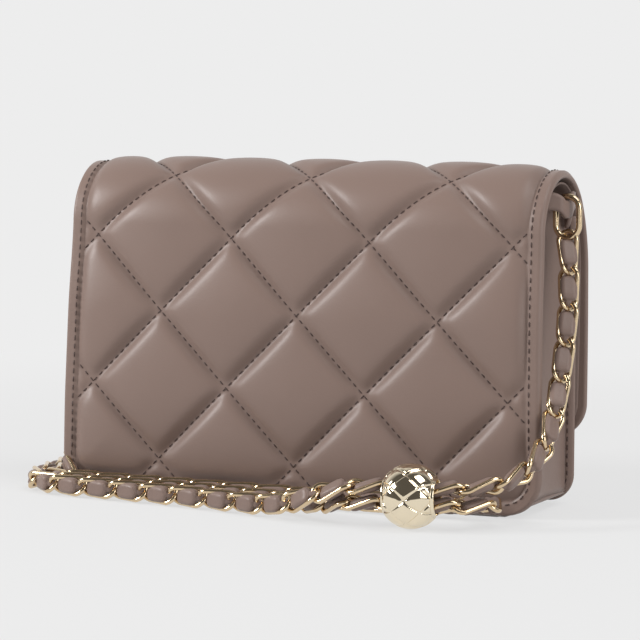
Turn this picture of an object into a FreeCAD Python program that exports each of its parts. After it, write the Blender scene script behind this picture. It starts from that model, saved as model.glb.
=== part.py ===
import FreeCAD, Part
import math
import os
import re
import Sketcher

# Chain shoulder bag: a quilted flap bag with V-folded gussets, a curb chain with a leather lace
# woven through it, and a ball that slides on the doubled chain.
# Millimetres, +Z up. The origin is on the floor under the middle of the bag.
# The quilted back faces -Y, the flap hangs in front at +Y.

doc = FreeCAD.newDocument("ChainShoulderBag")
sheet = doc.addObject("Spreadsheet::Sheet", "Sizes")

# Driving sizes, then the sizes worked out from them
SIZES = [
    ("body_width", "190", "back panel across its lower part"),
    ("top_taper", "3", "how much narrower the back panel is at the fold, and the flap"),
    ("depth", "57", "back of the bag to front of the flap"),
    ("crest_height", "124", "floor to the top of the arch"),
    ("shoulder_radius", "53", "outside of the flap's shoulder"),
    ("back_lean", "2.9", "lean of the back panel, degrees"),
    ("arch_end", "30", "where the arch meets the flap's shoulder, degrees above level"),
    ("flap_drop", "100.5", "flap's lower edge below the top of the arch"),
    ("flap_sweep", "4", "turn of the flap's front face, degrees"),
    ("corner", "14", "lower corners of the back panel"),
    ("flap_corner", "13", "lower corners of the flap"),
    ("front_corner", "10", "lower corners of the front panel"),
    ("quilt", "3.8", "quilted leather with its foam"),
    ("quilt_cell", "27.7", "half the diagonal of a quilted diamond"),
    ("quilt_side", "11.8", "first crossing of the seams in from the left edge"),
    ("quilt_start", "13.5", "first crossing of the seams up from the floor"),
    ("quilt_relief", "2.8", "puffs over the seams between them"),
    ("quilt_crown", "0.4", "puffs over the wall's line"),
    ("edge_band", "4.7", "sewn edge outside the quilting"),
    ("edge_drop", "1.6", "sewn edge under the wall's line"),
    ("leather", "1.4", "plain leather"),
    ("board", "1", "stiffening board"),
    ("lining", "0.8", "lining"),
    ("glue", "0.1", "between two layers"),
    ("foot_lift", "1", "back panel's lower edge above the floor"),
    ("fold_gap", "0.4", "between the back panel and the flap at the fold"),
    ("front_gap", "3.05", "flap's lower edge to the front panel"),
    ("front_inset", "1", "front panel's sides in from the back panel's"),
    ("front_drop", "1", "top of the front panel under the flap"),
    ("board_inset", "8.5", "boards and linings in from the panel's edge"),
    ("pocket_width", "120", "slip pocket"),
    ("pocket_low", "28", "slip pocket's lower edge"),
    ("pocket_drop", "40", "slip pocket's mouth below the top of the arch"),
    ("gusset_inset", "4", "gusset's outer edges in from the back panel's sides"),
    ("crease_share", "0.2", "gusset's fold inwards over the gusset's depth, so that its leaves are flat"),
    ("gusset_drop", "8", "top of the gusset below the top of the arch, before it is cut round"),
    ("gusset_clear", "0.6", "gusset's top under the flap"),
    ("arch_trim", "10", "where the gusset's rounded top begins, degrees above level"),
    ("strip_drop", "18", "ring strip's lower edge below the top of the arch"),
    ("strip_height", "6.5", "ring strip's width"),
    ("strip_thick", "1.5", "ring strip's leather"),
    ("strip_foot", "3", "sewn foot of the ring strip, along the depth"),
    ("strip_back", "5", "back foot's end behind the bow"),
    ("strip_front", "4", "front foot's start before the bow"),
    ("strip_stand", "5", "middle of the ring strip's bow out from the gusset's outer edges"),
    ("strip_bow", "6", "straight part of the bow"),
    ("strip_clear", "0.3", "ring strip's foot to the gusset"),
    ("ring_place", "0", "ring along the depth, from the middle"),
    ("ring_width", "11", "ring outside"),
    ("ring_height", "17", "ring outside"),
    ("ring_wire", "2.2", "ring's wire"),
    ("ring_seat", "0.35", "ring above the strip's upper edge"),
    ("snap_rise", "34.5", "middle of the snap above the flap's lower edge"),
    ("snap_radius", "9", "snap socket and stud"),
    ("snap_clear", "0.42", "stud's plate to the socket"),
    ("snap_hole", "4", "radius of the socket's hole"),
    ("snap_floor", "0.5", "metal under the socket's hole"),
    ("snap_nub", "2.5", "radius of the stud's nub"),
    ("stud_thick", "0.9", "stud's plate"),
    ("washer_half", "7", "half the side of the snap's square backing plates"),
    ("washer_thick", "0.7", "snap's backing plates"),
    ("washer_clear", "0.4", "backing plate in its window in the board"),
    ("link_length", "15.95", "chain link outside"),
    ("link_width", "8", "chain link outside"),
    ("link_wire", "1.6", "chain link's wire"),
    ("link_twist", "45", "turn of each end of a link, degrees"),
    ("lace_thick", "0.8", "lace's leather"),
    ("lace_width", "3", "lace in the middle of a link"),
    ("lace_neck", "0.8", "lace's width gathered between two links"),
    ("lace_neck_shift", "2.9", "gathered lace beside the chain's middle"),
    ("lace_neck_reach", "1.5", "gathered lace before and after a joint"),
    ("lace_give", "1.5", "how far gathered lace moves out of the way in a bend, per radian"),
    ("link_play", "0.75", "play wished for at each joint of the chain"),
    ("strap_lift", "0.2", "strap above the floor"),
    ("ball_x", "62", "ball's middle"),
    ("ball_y", "-63.5", "ball's middle"),
    ("ball_turn", "8", "turn of the run through the ball, degrees"),
    ("ball_size", "23", "ball across"),
    ("ball_end", "9.6", "ball's flat ends from its middle"),
    ("ball_groove", "0.45", "depth of the lines engraved on the ball"),
    ("channel_width", "8.9", "way for the chain through the ball"),
    ("channel_height", "11.8", "way for both runs of the chain through the ball"),
    ("sleeve_wall", "0.8", "soft sleeve in the ball"),
    ("sleeve_length", "11.5", "soft sleeve in the ball"),
    ("top_width", "=body_width - top_taper", "back panel at the fold, and the flap"),
    ("front_width", "=body_width - 2 * front_inset", "front panel"),
    ("gusset_half", "=body_width / 2 - gusset_inset", "gusset's outer edges from the middle"),
    ("strip_reach", "=gusset_half + strip_stand", "middle of the ring strip's bow, from the bag's middle"),
    ("arch_radius",
     "=(depth - crest_height * tan(back_lean * 1deg) - shoulder_radius * (1 - cos(arch_end * 1deg)))"
     " / (cos(back_lean * 1deg) + cos(arch_end * 1deg)"
     " - (1 - sin(back_lean * 1deg)) * tan(back_lean * 1deg))",
     "outside of the arch over the top"),
    ("arch_z", "=crest_height - arch_radius", "middle of the arch"),
    ("fold_z", "=arch_z + arch_radius * sin(back_lean * 1deg)", "fold of the flap"),
    ("back_y", "=-depth / 2", "foot of the back panel"),
    ("fold_y", "=back_y + fold_z * tan(back_lean * 1deg)", "fold of the flap"),
    ("arch_y", "=fold_y + arch_radius * cos(back_lean * 1deg)", "middle of the arch"),
    ("shoulder_z", "=arch_z + (arch_radius - shoulder_radius) * sin(arch_end * 1deg)",
     "middle of the shoulder's curve, level with the front's upper end"),
    ("flap_bottom", "=crest_height - flap_drop", "floor to the lower edge of the flap"),
    ("front_radius", "=(shoulder_z - flap_bottom) / sin(flap_sweep * 1deg)", "flap's front face"),
    ("back_height", "=fold_z / cos(back_lean * 1deg)", "back panel along its lean"),
    ("flap_layers", "=quilt + board + lining + 2 * glue", "flap's thickness"),
    ("front_layers", "=leather + board + lining + 2 * glue", "front wall's thickness"),
    ("base_layers", "=leather + board + lining + 2 * glue", "base's thickness"),
    ("front_face", "=depth / 2 - flap_layers * cos(flap_sweep * 1deg)"
     " - front_radius * (1 - cos(flap_sweep * 1deg)) - front_gap",
     "outside of the front panel, from the middle"),
    ("front_top", "=shoulder_z + sqrt((shoulder_radius - flap_layers) ^ 2"
     " - (front_face - depth / 2 + shoulder_radius) ^ 2) - front_drop", "top of the front panel"),
    ("pocket_high", "=crest_height - pocket_drop", "slip pocket's mouth"),
    ("gusset_top", "=crest_height - gusset_drop", "top of the gusset before it is cut round"),
    ("strip_low", "=crest_height - strip_drop", "ring strip's lower edge"),
    ("snap_height", "=flap_bottom + snap_rise", "middle of the snap above the floor"),
    ("snap_turn", "=asin((shoulder_z - snap_height) / front_radius) / 1deg",
     "lean of the flap's front at the snap, degrees"),
    ("snap_bed", "=snap_radius ^ 2 / 2 / front_radius + glue",
     "flat back of the stud to the flap's curved lining"),
    ("snap_thick", "=depth / 2 - front_radius"
     " + (front_radius - flap_layers - snap_bed - stud_thick) * cos(snap_turn * 1deg)"
     " - snap_radius * sin(snap_turn * 1deg) - snap_clear - front_face - glue", "snap socket"),
    ("snap_hole_depth", "=snap_thick - snap_floor", "depth of the socket's hole"),
    ("snap_nub_length", "=snap_clear + snap_radius * sin(snap_turn * 1deg) + snap_hole_depth / 3",
     "stud's nub, which reaches into the socket's hole"),
    ("ring_top", "=strip_low + strip_height + ring_seat + ring_wire", "top of the ring"),
    ("ring_low", "=ring_top - ring_height + ring_wire / 2", "middle of the ring's lower wire"),
]

for row, (name, text, meaning) in enumerate(SIZES, start=1):
    sheet.set(f"A{row}", name)
    sheet.set(f"B{row}", text)
    sheet.set(f"C{row}", meaning)
    sheet.setAlias(f"B{row}", name)
doc.recompute()


def size(name):
    """Value of a named size."""
    return float(sheet.get(name))


def value(expression):
    """Number that an expression over the sheet's names gives."""
    return float(sheet.evalExpression(expression))


NAMES = re.compile(r"\b(" + "|".join(name for name, text, meaning in SIZES) + r")\b")


def named(expression):
    """The same expression as another object of the document writes it."""
    return NAMES.sub(r"Sizes.\1", expression)


# Sketches and bodies

def arc_between(start, end, radius, turn):
    """Arc from start to end with its centre on the left (turn 1) or the right (turn -1)."""
    middle = (start + end) * 0.5
    chord = end - start
    left = FreeCAD.Vector(-chord.y, chord.x, 0).normalize()
    rise = math.sqrt(max(radius ** 2 - (chord.Length / 2) ** 2, 0))
    centre = middle + left * (turn * rise)
    first, last = (start, end) if turn > 0 else (end, start)
    begin = math.atan2(first.y - centre.y, first.x - centre.x)
    finish = math.atan2(last.y - centre.y, last.x - centre.x)
    circle = Part.Circle(centre, FreeCAD.Vector(0, 0, 1), radius)
    return Part.ArcOfCircle(circle, begin, finish)


def outline(body, name, plane, corners, arcs=None):
    """Closed sketch whose corners, and the radii of its arcs, are expressions over the sheet.

    arcs maps the number of a side to (radius, turn): side 0 runs from corner 0 to corner 1.
    """
    arcs = arcs or {}
    sketch = body.newObject("Sketcher::SketchObject", name)
    support = [item for item in body.Origin.OriginFeatures if item.Role == plane][0]
    sketch.AttachmentSupport = (support, [""])
    sketch.MapMode = "FlatFace"
    points = [FreeCAD.Vector(value(across), value(up), 0) for across, up in corners]
    ends = []
    for side, start in enumerate(points):
        end = points[(side + 1) % len(points)]
        if side in arcs:
            radius, turn = arcs[side]
            sketch.addGeometry(arc_between(start, end, value(radius), turn), False)
            ends.append((1, 2) if turn > 0 else (2, 1))
        else:
            sketch.addGeometry(Part.LineSegment(start, end), False)
            ends.append((1, 2))
    for side, point in enumerate(points):
        following = (side + 1) % len(points)
        sketch.addConstraint(
            Sketcher.Constraint("Coincident", side, ends[side][1], following, ends[following][0]))
        across = sketch.addConstraint(
            Sketcher.Constraint("DistanceX", -1, 1, side, ends[side][0], point.x))
        up = sketch.addConstraint(
            Sketcher.Constraint("DistanceY", -1, 1, side, ends[side][0], point.y))
        sketch.setExpression(f"Constraints[{across}]", named(corners[side][0]))
        sketch.setExpression(f"Constraints[{up}]", named(corners[side][1]))
        if side in arcs:
            bend = sketch.addConstraint(
                Sketcher.Constraint("Radius", side, value(arcs[side][0])))
            sketch.setExpression(f"Constraints[{bend}]", named(arcs[side][0]))
    return sketch


PARTS = []


def new_body(label):
    """Body of one sub-part; its label names its file."""
    body = doc.addObject("PartDesign::Body", label)
    body.Label = label
    PARTS.append(body)
    return body


def pad(body, sketch, length, reverse=False, both_ways=False):
    """Pad of a sketch by an expression."""
    feature = body.newObject("PartDesign::Pad", sketch.Name + "_pad")
    feature.Profile = sketch
    feature.setExpression("Length", named(length))
    feature.Reversed = reverse
    feature.Midplane = both_ways
    body.Tip = feature
    return feature


def window(body, name, height, half, depth):
    """Square hole along the depth, right through a thin sheet."""
    sketch = outline(body, name, "XZ_Plane",
                     box_outline(half, f"({height}) - ({half})", f"({height}) + ({half})"))
    doc.recompute()
    feature = body.newObject("PartDesign::Pocket", name + "_cut")
    feature.Profile = sketch
    feature.setExpression("Length", named(depth))
    feature.Midplane = True
    body.Tip = feature


def wall(label, corners, arcs, start, thickness):
    """Upright sheet drawn from behind, its outer face at start along the depth."""
    body = new_body(label)
    sketch = outline(body, label + "_outline", "XZ_Plane", corners, arcs)
    sketch.setExpression("AttachmentOffset.Base.z", named(f"-({start})"))
    pad(body, sketch, thickness, reverse=True)
    return body


def floor_sheet(label, half_width, back, front, start, thickness):
    """Level sheet between two depths, its lower face at start."""
    body = new_body(label)
    corners = [(f"-({half_width})", back), (half_width, back), (half_width, front),
               (f"-({half_width})", front)]
    sketch = outline(body, label + "_outline", "XY_Plane", corners)
    sketch.setExpression("AttachmentOffset.Base.z", named(start))
    pad(body, sketch, thickness)
    return body


def rounded_foot(half_low, half_high, bottom, top, radius):
    """Corners and arcs of a panel with rounded lower corners."""
    corners = [
        (f"-({half_low}) + ({radius})", bottom), (f"({half_low}) - ({radius})", bottom),
        (half_low, f"({bottom}) + ({radius})"), (half_high, top),
        (f"-({half_high})", top), (f"-({half_low})", f"({bottom}) + ({radius})")]
    arcs = {1: (radius, 1), 5: (radius, 1)}
    return corners, arcs


def box_outline(half_width, bottom, top):
    """Corners of a plain upright sheet."""
    return [(f"-({half_width})", bottom), (half_width, bottom), (half_width, top),
            (f"-({half_width})", top)]


def lean_back(body):
    """Leans a sheet of the back with the back panel."""
    body.Placement = FreeCAD.Placement(
        FreeCAD.Vector(0, size("back_y"), 0),
        FreeCAD.Rotation(FreeCAD.Vector(1, 0, 0), -size("back_lean")))
    body.setExpression("Placement.Base.y", named("back_y"))
    body.setExpression("Placement.Rotation.Angle", named("-back_lean"))


# Back: board, lining and the slip pocket on the lining, behind the quilted leather

BACK_INNER = "base_layers + 2 * glue + foot_lift"
back_half = "body_width / 2 - board_inset"
lean_back(wall("back_board", box_outline(back_half, BACK_INNER, "back_height - board_inset"), None,
               "quilt + glue", "board"))
lean_back(wall("back_lining", box_outline(back_half, BACK_INNER, "back_height - fold_gap"), None,
               "quilt + board + 2 * glue", "lining"))
lean_back(wall("slip_pocket", box_outline("pocket_width / 2", "pocket_low", "pocket_high"), None,
               "quilt + board + lining + 3 * glue", "lining"))

# Front: plain leather, board with a window for the snap's backing plate, lining

corners, arcs = rounded_foot("front_width / 2", "front_width / 2", "foot_lift", "front_top",
                             "front_corner")
wall("front_panel", corners, arcs, "front_face - leather", "leather")
front_half = "front_width / 2 - board_inset"
front_board = wall("front_board", box_outline(front_half, BACK_INNER, "front_top - board_inset"),
                   None, "front_face - leather - glue - board", "board")
window(front_board, "front_board_window", "snap_height", "washer_half + washer_clear", "depth")
wall("front_lining", box_outline(front_half, BACK_INNER, "front_top - fold_gap"), None,
     "front_face - front_layers", "lining")

# Base: leather, board and lining between the back and front panels

base_back = "back_y + quilt + 3 * glue"
base_front = "front_face - leather - 2 * glue"
floor_sheet("base_panel", "gusset_half - glue", base_back, base_front, "0", "leather")
base_half = f"gusset_half - crease_share * (({base_front}) - ({base_back})) - 2 * leather"
floor_sheet("base_board", base_half, base_back, base_front, "leather + glue", "board")
floor_sheet("base_lining", base_half, base_back, base_front, "leather + board + 2 * glue", "lining")


# Gussets: V-folded sheets cut to the arch at the top by straight snips

ARCH_CUTS = 8


def fold_profile(body, name, side, height, outer, thickness):
    """Section of a V-folded sheet at one height; side is 1 on the right and -1 on the left."""
    back = f"back_y + quilt + 3 * glue + ({height}) * tan(back_lean * 1deg)"
    front = "front_face - leather - 2 * glue"
    middle = f"(({back}) + ({front})) / 2"
    crease = f"crease_share * (({front}) - ({back}))"
    corners = []
    for inward in ("0", thickness):
        edge = f"{side} * (({outer}) - ({inward}))"
        fold = f"{side} * (({outer}) - ({crease}) - ({inward}))"
        line = [(edge, back), (fold, middle), (edge, front)]
        corners += line if inward == "0" else line[::-1]
    sketch = outline(body, name, "XY_Plane", corners)
    sketch.setExpression("AttachmentOffset.Base.z", named(height))
    return sketch


def folded_sheet(label, side, outer, thickness, bottom):
    """Gusset layer lofted from its foot to its top."""
    body = new_body(label)
    low = fold_profile(body, label + "_foot", side, bottom, outer, thickness)
    high = fold_profile(body, label + "_head", side, "gusset_top", outer, thickness)
    doc.recompute()
    loft = body.newObject("PartDesign::AdditiveLoft", label + "_loft")
    loft.Profile = low
    loft.Sections = [high]
    loft.Ruled = True
    body.Tip = loft
    inside = "(arch_radius - flap_layers - gusset_clear)"
    corners = []
    for step in range(ARCH_CUTS + 1):
        angle = f"(arch_trim + (180 - 2 * arch_trim) * {step} / {ARCH_CUTS}) * 1deg"
        corners.append((f"arch_y + {inside} * cos({angle})", f"arch_z + {inside} * sin({angle})"))
    corners += [(f"arch_y - {inside}", "arch_z"), ("arch_y - depth", "arch_z"),
                ("arch_y - depth", "crest_height"), ("arch_y + depth", "crest_height"),
                ("arch_y + depth", "arch_z"), (f"arch_y + {inside}", "arch_z")]
    doc.recompute()
    above = outline(body, label + "_arch", "YZ_Plane", corners)
    doc.recompute()
    cut = body.newObject("PartDesign::Pocket", label + "_cut")
    cut.Profile = above
    cut.Midplane = True
    cut.setExpression("Length", named("2 * body_width"))
    body.Tip = cut


for hand, side in (("right", 1), ("left", -1)):
    folded_sheet(f"gusset_{hand}", side, "gusset_half", "leather", "leather + glue")
    folded_sheet(f"gusset_lining_{hand}", side, "gusset_half - leather - glue", "lining",
                 "leather + glue")


# Ring strips: a leather strip bowed across each gusset's fold, its feet sewn to the two leaves

def strip(label, side):
    """Strip drawn from above: foot on the back leaf, bow for the ring, foot on the front leaf."""
    body = new_body(label)
    height = "(strip_low + strip_height)"
    back = f"(back_y + quilt + 3 * glue + {height} * tan(back_lean * 1deg))"
    front = "(front_face - leather - 2 * glue)"
    slope = "(2 * crease_share)"
    leaf = "(gusset_half + strip_clear)"
    reach = "(strip_reach - strip_thick / 2)"
    back_foot = "(ring_place - strip_bow / 2 - strip_back)"
    front_foot = "(ring_place + strip_bow / 2 + strip_front)"
    near = [
        (f"{leaf} - ({back_foot} - {back}) * {slope}", back_foot),
        (f"{leaf} - ({back_foot} + strip_foot - {back}) * {slope}", f"{back_foot} + strip_foot"),
        (reach, "ring_place - strip_bow / 2"),
        (reach, "ring_place + strip_bow / 2"),
        (f"{leaf} - ({front} - {front_foot}) * {slope}", front_foot),
        (f"{leaf} - ({front} - {front_foot} - strip_foot) * {slope}", f"{front_foot} + strip_foot"),
    ]
    far = [(f"{across} + strip_thick", along) for across, along in near]
    corners = [(f"{side} * ({across})", along) for across, along in near + far[::-1]]
    sketch = outline(body, label + "_outline", "XY_Plane", corners)
    sketch.setExpression("AttachmentOffset.Base.z", named("strip_low"))
    pad(body, sketch, "strip_height")


for hand, side in (("right", 1), ("left", -1)):
    strip(f"ring_strip_{hand}", side)


# Flap: board and lining under the quilted leather that goes over the arch and down the front

def flap_sheet(label, outside, inside, half_width, whole):
    """Layer of the flap between two depths under its outer face.

    whole layers start at the fold; the others start at the shoulder's lower end.
    """
    body = new_body(label)

    def line(under):
        arch = f"(arch_radius - ({under}))"
        shoulder = f"(shoulder_radius - ({under}))"
        face = f"(front_radius - ({under}))"
        start = [
            (f"arch_y - {arch} * cos(back_lean * 1deg)", f"arch_z + {arch} * sin(back_lean * 1deg)"),
            (f"arch_y + {arch} * cos(arch_end * 1deg)", f"arch_z + {arch} * sin(arch_end * 1deg)")]
        finish = [
            (f"depth / 2 - shoulder_radius + {shoulder}", "shoulder_z"),
            (f"depth / 2 - front_radius + {face} * cos(flap_sweep * 1deg)",
             f"shoulder_z - {face} * sin(flap_sweep * 1deg)")]
        radii = [arch, shoulder, face]
        return (start + finish, radii) if whole else (finish, radii[2:])

    outer, outer_radii = line(outside)
    inner, inner_radii = line(inside)
    arcs = {}
    for number, radius in enumerate(outer_radii):
        arcs[number] = (radius, -1)
    for number, radius in enumerate(inner_radii[::-1]):
        arcs[len(outer) + number] = (radius, 1)
    sketch = outline(body, label + "_profile", "YZ_Plane", outer + inner[::-1], arcs)
    feature = pad(body, sketch, f"2 * ({half_width})", both_ways=True)
    doc.recompute()
    low = [f"Edge{number}" for number, edge in enumerate(feature.Shape.Edges, start=1)
           if abs(edge.Vertexes[0].X - edge.Vertexes[-1].X) < size("glue")
           and max(vertex.Z for vertex in edge.Vertexes) < size("flap_bottom") + size("quilt")
           and edge.Length < size("flap_layers")]
    rounding = body.newObject("PartDesign::Fillet", label + "_corners")
    rounding.Base = (feature, low)
    rounding.setExpression("Radius", named("flap_corner"))
    body.Tip = rounding
    return body


flap_board = flap_sheet("flap_board", "quilt + glue", "quilt + glue + board",
                        "top_width / 2 - board_inset", False)
window(flap_board, "flap_board_window", "snap_height", "washer_half + washer_clear", "2 * depth")
flap_sheet("flap_lining", "flap_layers - lining", "flap_layers", "top_width / 2 - glue", True)


# Snap: socket on the front panel, stud on the flap, each with a backing plate in its board

def on_flap(under):
    """Depth and height of the snap's middle at a depth under the flap's outer face."""
    radius = f"(front_radius - ({under}))"
    return (f"depth / 2 - front_radius + {radius} * cos(snap_turn * 1deg)",
            f"shoulder_z - {radius} * sin(snap_turn * 1deg)")


def seat(body, along, height, lean):
    """Puts a piece of the snap at its depth, height and lean."""
    body.Placement = FreeCAD.Placement(
        FreeCAD.Vector(0, value(along), value(height)),
        FreeCAD.Rotation(FreeCAD.Vector(1, 0, 0), value(lean)))
    body.setExpression("Placement.Base.y", named(along))
    body.setExpression("Placement.Base.z", named(height))
    if value(lean):
        body.setExpression("Placement.Rotation.Angle", named(lean))


def turned(label, profile, along, height, lean):
    """Round piece about an axis along the depth; profile is (radius, depth) corners."""
    body = new_body(label)
    sketch = outline(body, label + "_profile", "XY_Plane", profile)
    feature = body.newObject("PartDesign::Revolution", label + "_turn")
    feature.Profile = sketch
    feature.ReferenceAxis = (sketch, ["V_Axis"])
    body.Tip = feature
    seat(body, along, height, lean)


def washer(label, along, height, lean):
    """Square backing plate of one half of the snap, its middle at a depth and height."""
    body = new_body(label)
    sketch = outline(body, label + "_outline", "XZ_Plane",
                     box_outline("washer_half", "-washer_half", "washer_half"))
    pad(body, sketch, "washer_thick", both_ways=True)
    seat(body, along, height, lean)


turned("snap_socket", [
    ("0", "0"), ("snap_radius", "0"), ("snap_radius", "snap_thick"), ("snap_hole", "snap_thick"),
    ("snap_hole", "snap_thick - snap_hole_depth"), ("0", "snap_thick - snap_hole_depth")],
    "front_face + glue", "snap_height", "0")
washer("snap_socket_washer", "front_face - leather - glue - board / 2", "snap_height", "0")
turned("snap_stud", [
    ("0", "-stud_thick - snap_nub_length"), ("snap_nub", "-stud_thick - snap_nub_length"),
    ("snap_nub", "-stud_thick"), ("snap_radius", "-stud_thick"), ("snap_radius", "0"), ("0", "0")],
    *on_flap("flap_layers + snap_bed"), "-snap_turn")
washer("snap_stud_washer", *on_flap("quilt + glue + board / 2"), "-snap_turn")


# Wire, cord and quilted solids made of flat facets, so that the many links and puffs stay light

def facet_solid(points, facets):
    """Solid inside a closed skin of triangles."""
    skin = Part.Shape()
    skin.makeShapeFromMesh((points, facets), size("glue") / 100)
    solid = Part.makeSolid(skin)
    if solid.Volume < 0:
        solid.reverse()
    return solid


def tube_solid(loops, closed):
    """Solid through loops of points; a closed one has no ends."""
    count = len(loops[0])
    points = [point for loop in loops for point in loop]
    facets = []
    for index in range(len(loops) if closed else len(loops) - 1):
        here = index * count
        there = (index + 1) % len(loops) * count
        for corner in range(count):
            beside = (corner + 1) % count
            facets.append((here + corner, there + corner, there + beside))
            facets.append((here + corner, there + beside, here + beside))
    if not closed:
        last = (len(loops) - 1) * count
        for corner in range(1, count - 1):
            facets.append((0, corner, corner + 1))
            facets.append((last, last + corner + 1, last + corner))
    return facet_solid(points, facets)


def bent_wire(path, radius, sides, centre):
    """Closed wire along a loop of points, its facets turned alike about the centre."""
    loops = []
    for index, point in enumerate(path):
        ahead = path[(index + 1) % len(path)]
        along = (ahead - path[index - 1]).normalize()
        out = point - centre
        out = (out - along * out.dot(along)).normalize()
        beside = along.cross(out)
        loops.append([
            point + out * (radius * math.cos(2 * math.pi * turn / sides))
            + beside * (radius * math.sin(2 * math.pi * turn / sides)) for turn in range(sides)])
    return tube_solid(loops, True)


def add_shape(label, shape):
    """Sub-part whose shape is worked out in code."""
    part = doc.addObject("Part::Feature", label)
    part.Label = label
    part.Shape = shape
    PARTS.append(part)
    return part


# Quilted leather: foam puffs between crossing lines of stitches, inside a flat sewn edge.
# It lies on the wall's line, up the back, over the arch and shoulder and down the flap's front.

LEAN = math.radians(size("back_lean"))
ARCH_END = math.radians(size("arch_end"))
SWEEP = math.radians(size("flap_sweep"))
arch_length = size("arch_radius") * (math.pi - LEAN - ARCH_END)
shoulder_length = size("shoulder_radius") * ARCH_END
wall_end = size("back_height") + arch_length + shoulder_length + size("front_radius") * SWEEP
QUILT_STEPS = 3
quilt_step = size("quilt_cell") / QUILT_STEPS
slope_width = quilt_step / math.sqrt(2)
CORNER_TURNS = (0, 30, 55)
CORNER_CLEAR = 0.55


def wall_spot(across, along, out):
    """Point at a distance along the wall's line, raised outwards."""
    if along <= size("back_height"):
        return FreeCAD.Vector(
            across, size("back_y") + along * math.sin(LEAN) - out * math.cos(LEAN),
            along * math.cos(LEAN) + out * math.sin(LEAN))
    along -= size("back_height")
    if along <= arch_length:
        radius = size("arch_radius")
        angle = math.pi - LEAN - along / radius
        middle = (size("arch_y"), size("arch_z"))
    elif along <= arch_length + shoulder_length:
        radius = size("shoulder_radius")
        angle = ARCH_END - (along - arch_length) / radius
        middle = (size("depth") / 2 - radius, size("shoulder_z"))
    else:
        radius = size("front_radius")
        angle = -(along - arch_length - shoulder_length) / radius
        middle = (size("depth") / 2 - radius, size("shoulder_z"))
    return FreeCAD.Vector(across, middle[0] + (radius + out) * math.cos(angle),
                          middle[1] + (radius + out) * math.sin(angle))


def quilt_ends(along):
    """The two ends of the quilted leather: corner radius, and distance from that end."""
    return ((size("corner"), along - size("foot_lift")), (size("flap_corner"), wall_end - along))


def side_half(along):
    """Half width of the quilted leather before its corners are rounded."""
    low, high = size("body_width") / 2, size("top_width") / 2
    return low + (high - low) * min(along / size("back_height"), 1)


def quilt_half(along):
    """Half width of the quilted leather with its rounded corners."""
    half = side_half(along)
    for radius, away in quilt_ends(along):
        if away < radius:
            half += math.sqrt(max(radius ** 2 - (radius - away) ** 2, 0)) - radius
    return half


def edge_distance(across, along):
    """Distance to the nearest edge of the quilted leather."""
    half = side_half(along)
    across = abs(across)
    nearest = half - across
    for radius, away in quilt_ends(along):
        nearest = min(nearest, away)
        if away < radius and across > half - radius:
            nearest = radius - math.hypot(across - half + radius, radius - away)
    return nearest


def puff(across, along):
    """Height of the quilted leather over the wall's line."""
    inside = edge_distance(across, along) - size("edge_band")
    if inside < -size("glue"):
        return -size("edge_drop")
    share = min(max(inside, 0) / slope_width, 1)
    across += size("body_width") / 2 - size("quilt_side")
    along -= size("quilt_start")
    for turn in (across + along, across - along):
        seam = (turn / size("quilt_cell") - 1) / 2
        away = abs(seam - round(seam)) * size("quilt_cell") * math.sqrt(2)
        share *= min(away / slope_width, 1)
    return size("quilt_crown") - size("quilt_relief") * (1 - share)


def grid_lines(first, low, high):
    """Lines a step apart, in line with the crossings of the seams, between two limits."""
    start = math.ceil((low - first) / quilt_step)
    stop = math.floor((high - first) / quilt_step)
    return [first + number * quilt_step for number in range(start, stop + 1)]


def corner_lines(radius):
    """Distances from a straight end at which the grid crosses its rounded corners."""
    return [radius * (1 - math.cos(math.radians(turn))) for turn in CORNER_TURNS]


quilt_columns = grid_lines(size("quilt_side") - size("body_width") / 2,
                           size("edge_band") + slope_width / 2 - size("top_width") / 2,
                           size("top_width") / 2 - size("edge_band") - slope_width / 2)


def quilt_row(along, folds):
    """Points across the quilted leather; at the fold of the flap no puff stands over the line."""
    half = quilt_half(along)
    limit = half - size("edge_band")
    last = len(quilt_columns) - 1
    places = [-half, -limit]
    for number, across in enumerate(quilt_columns):
        low = size("glue") * (number + 1) - limit
        high = limit - size("glue") * (last - number + 1)
        places.append(min(max(across, low), high))
    places += [limit, half]
    heights = [puff(across, along) for across in places]
    if folds:
        heights = [min(height, 0) for height in heights]
    return [wall_spot(across, along, height) for across, height in zip(places, heights)], heights


def quilt_solid(lines, fold):
    """Quilted leather over some lines of its grid: puffs outside, plain inside."""
    points, heights, facets = [], [], []
    for along in lines:
        row, row_heights = quilt_row(along, along == fold)
        points += row
        heights += row_heights
    wide = len(points) // len(lines)
    inner = len(points)
    for along in lines:
        for hand in (-1, 1):
            points.append(wall_spot(hand * quilt_half(along), along, -size("quilt")))
    for row in range(len(lines) - 1):
        for column in range(wide - 1):
            here = row * wide + column
            square = (here, here + 1, here + wide + 1, here + wide)
            level = [heights[index] for index in square]
            if level[0] + level[2] > level[1] + level[3]:
                square = square[1:] + square[:1]
            facets += [(square[0], square[1], square[2]), (square[0], square[2], square[3])]
        low, high = inner + 2 * row, inner + 2 * row + 2
        facets += [(low, high, high + 1), (low, high + 1, low + 1)]
        for hand, edge in ((0, row * wide), (1, row * wide + wide - 1)):
            facets += [(edge, edge + wide, high + hand), (edge, high + hand, low + hand)]
    for row in (0, len(lines) - 1):
        corner = inner + 2 * row
        for column in range(wide - 1):
            facets.append((corner, row * wide + column, row * wide + column + 1))
        facets.append((corner, row * wide + wide - 1, corner + 1))
    return facet_solid(points, facets)


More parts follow.
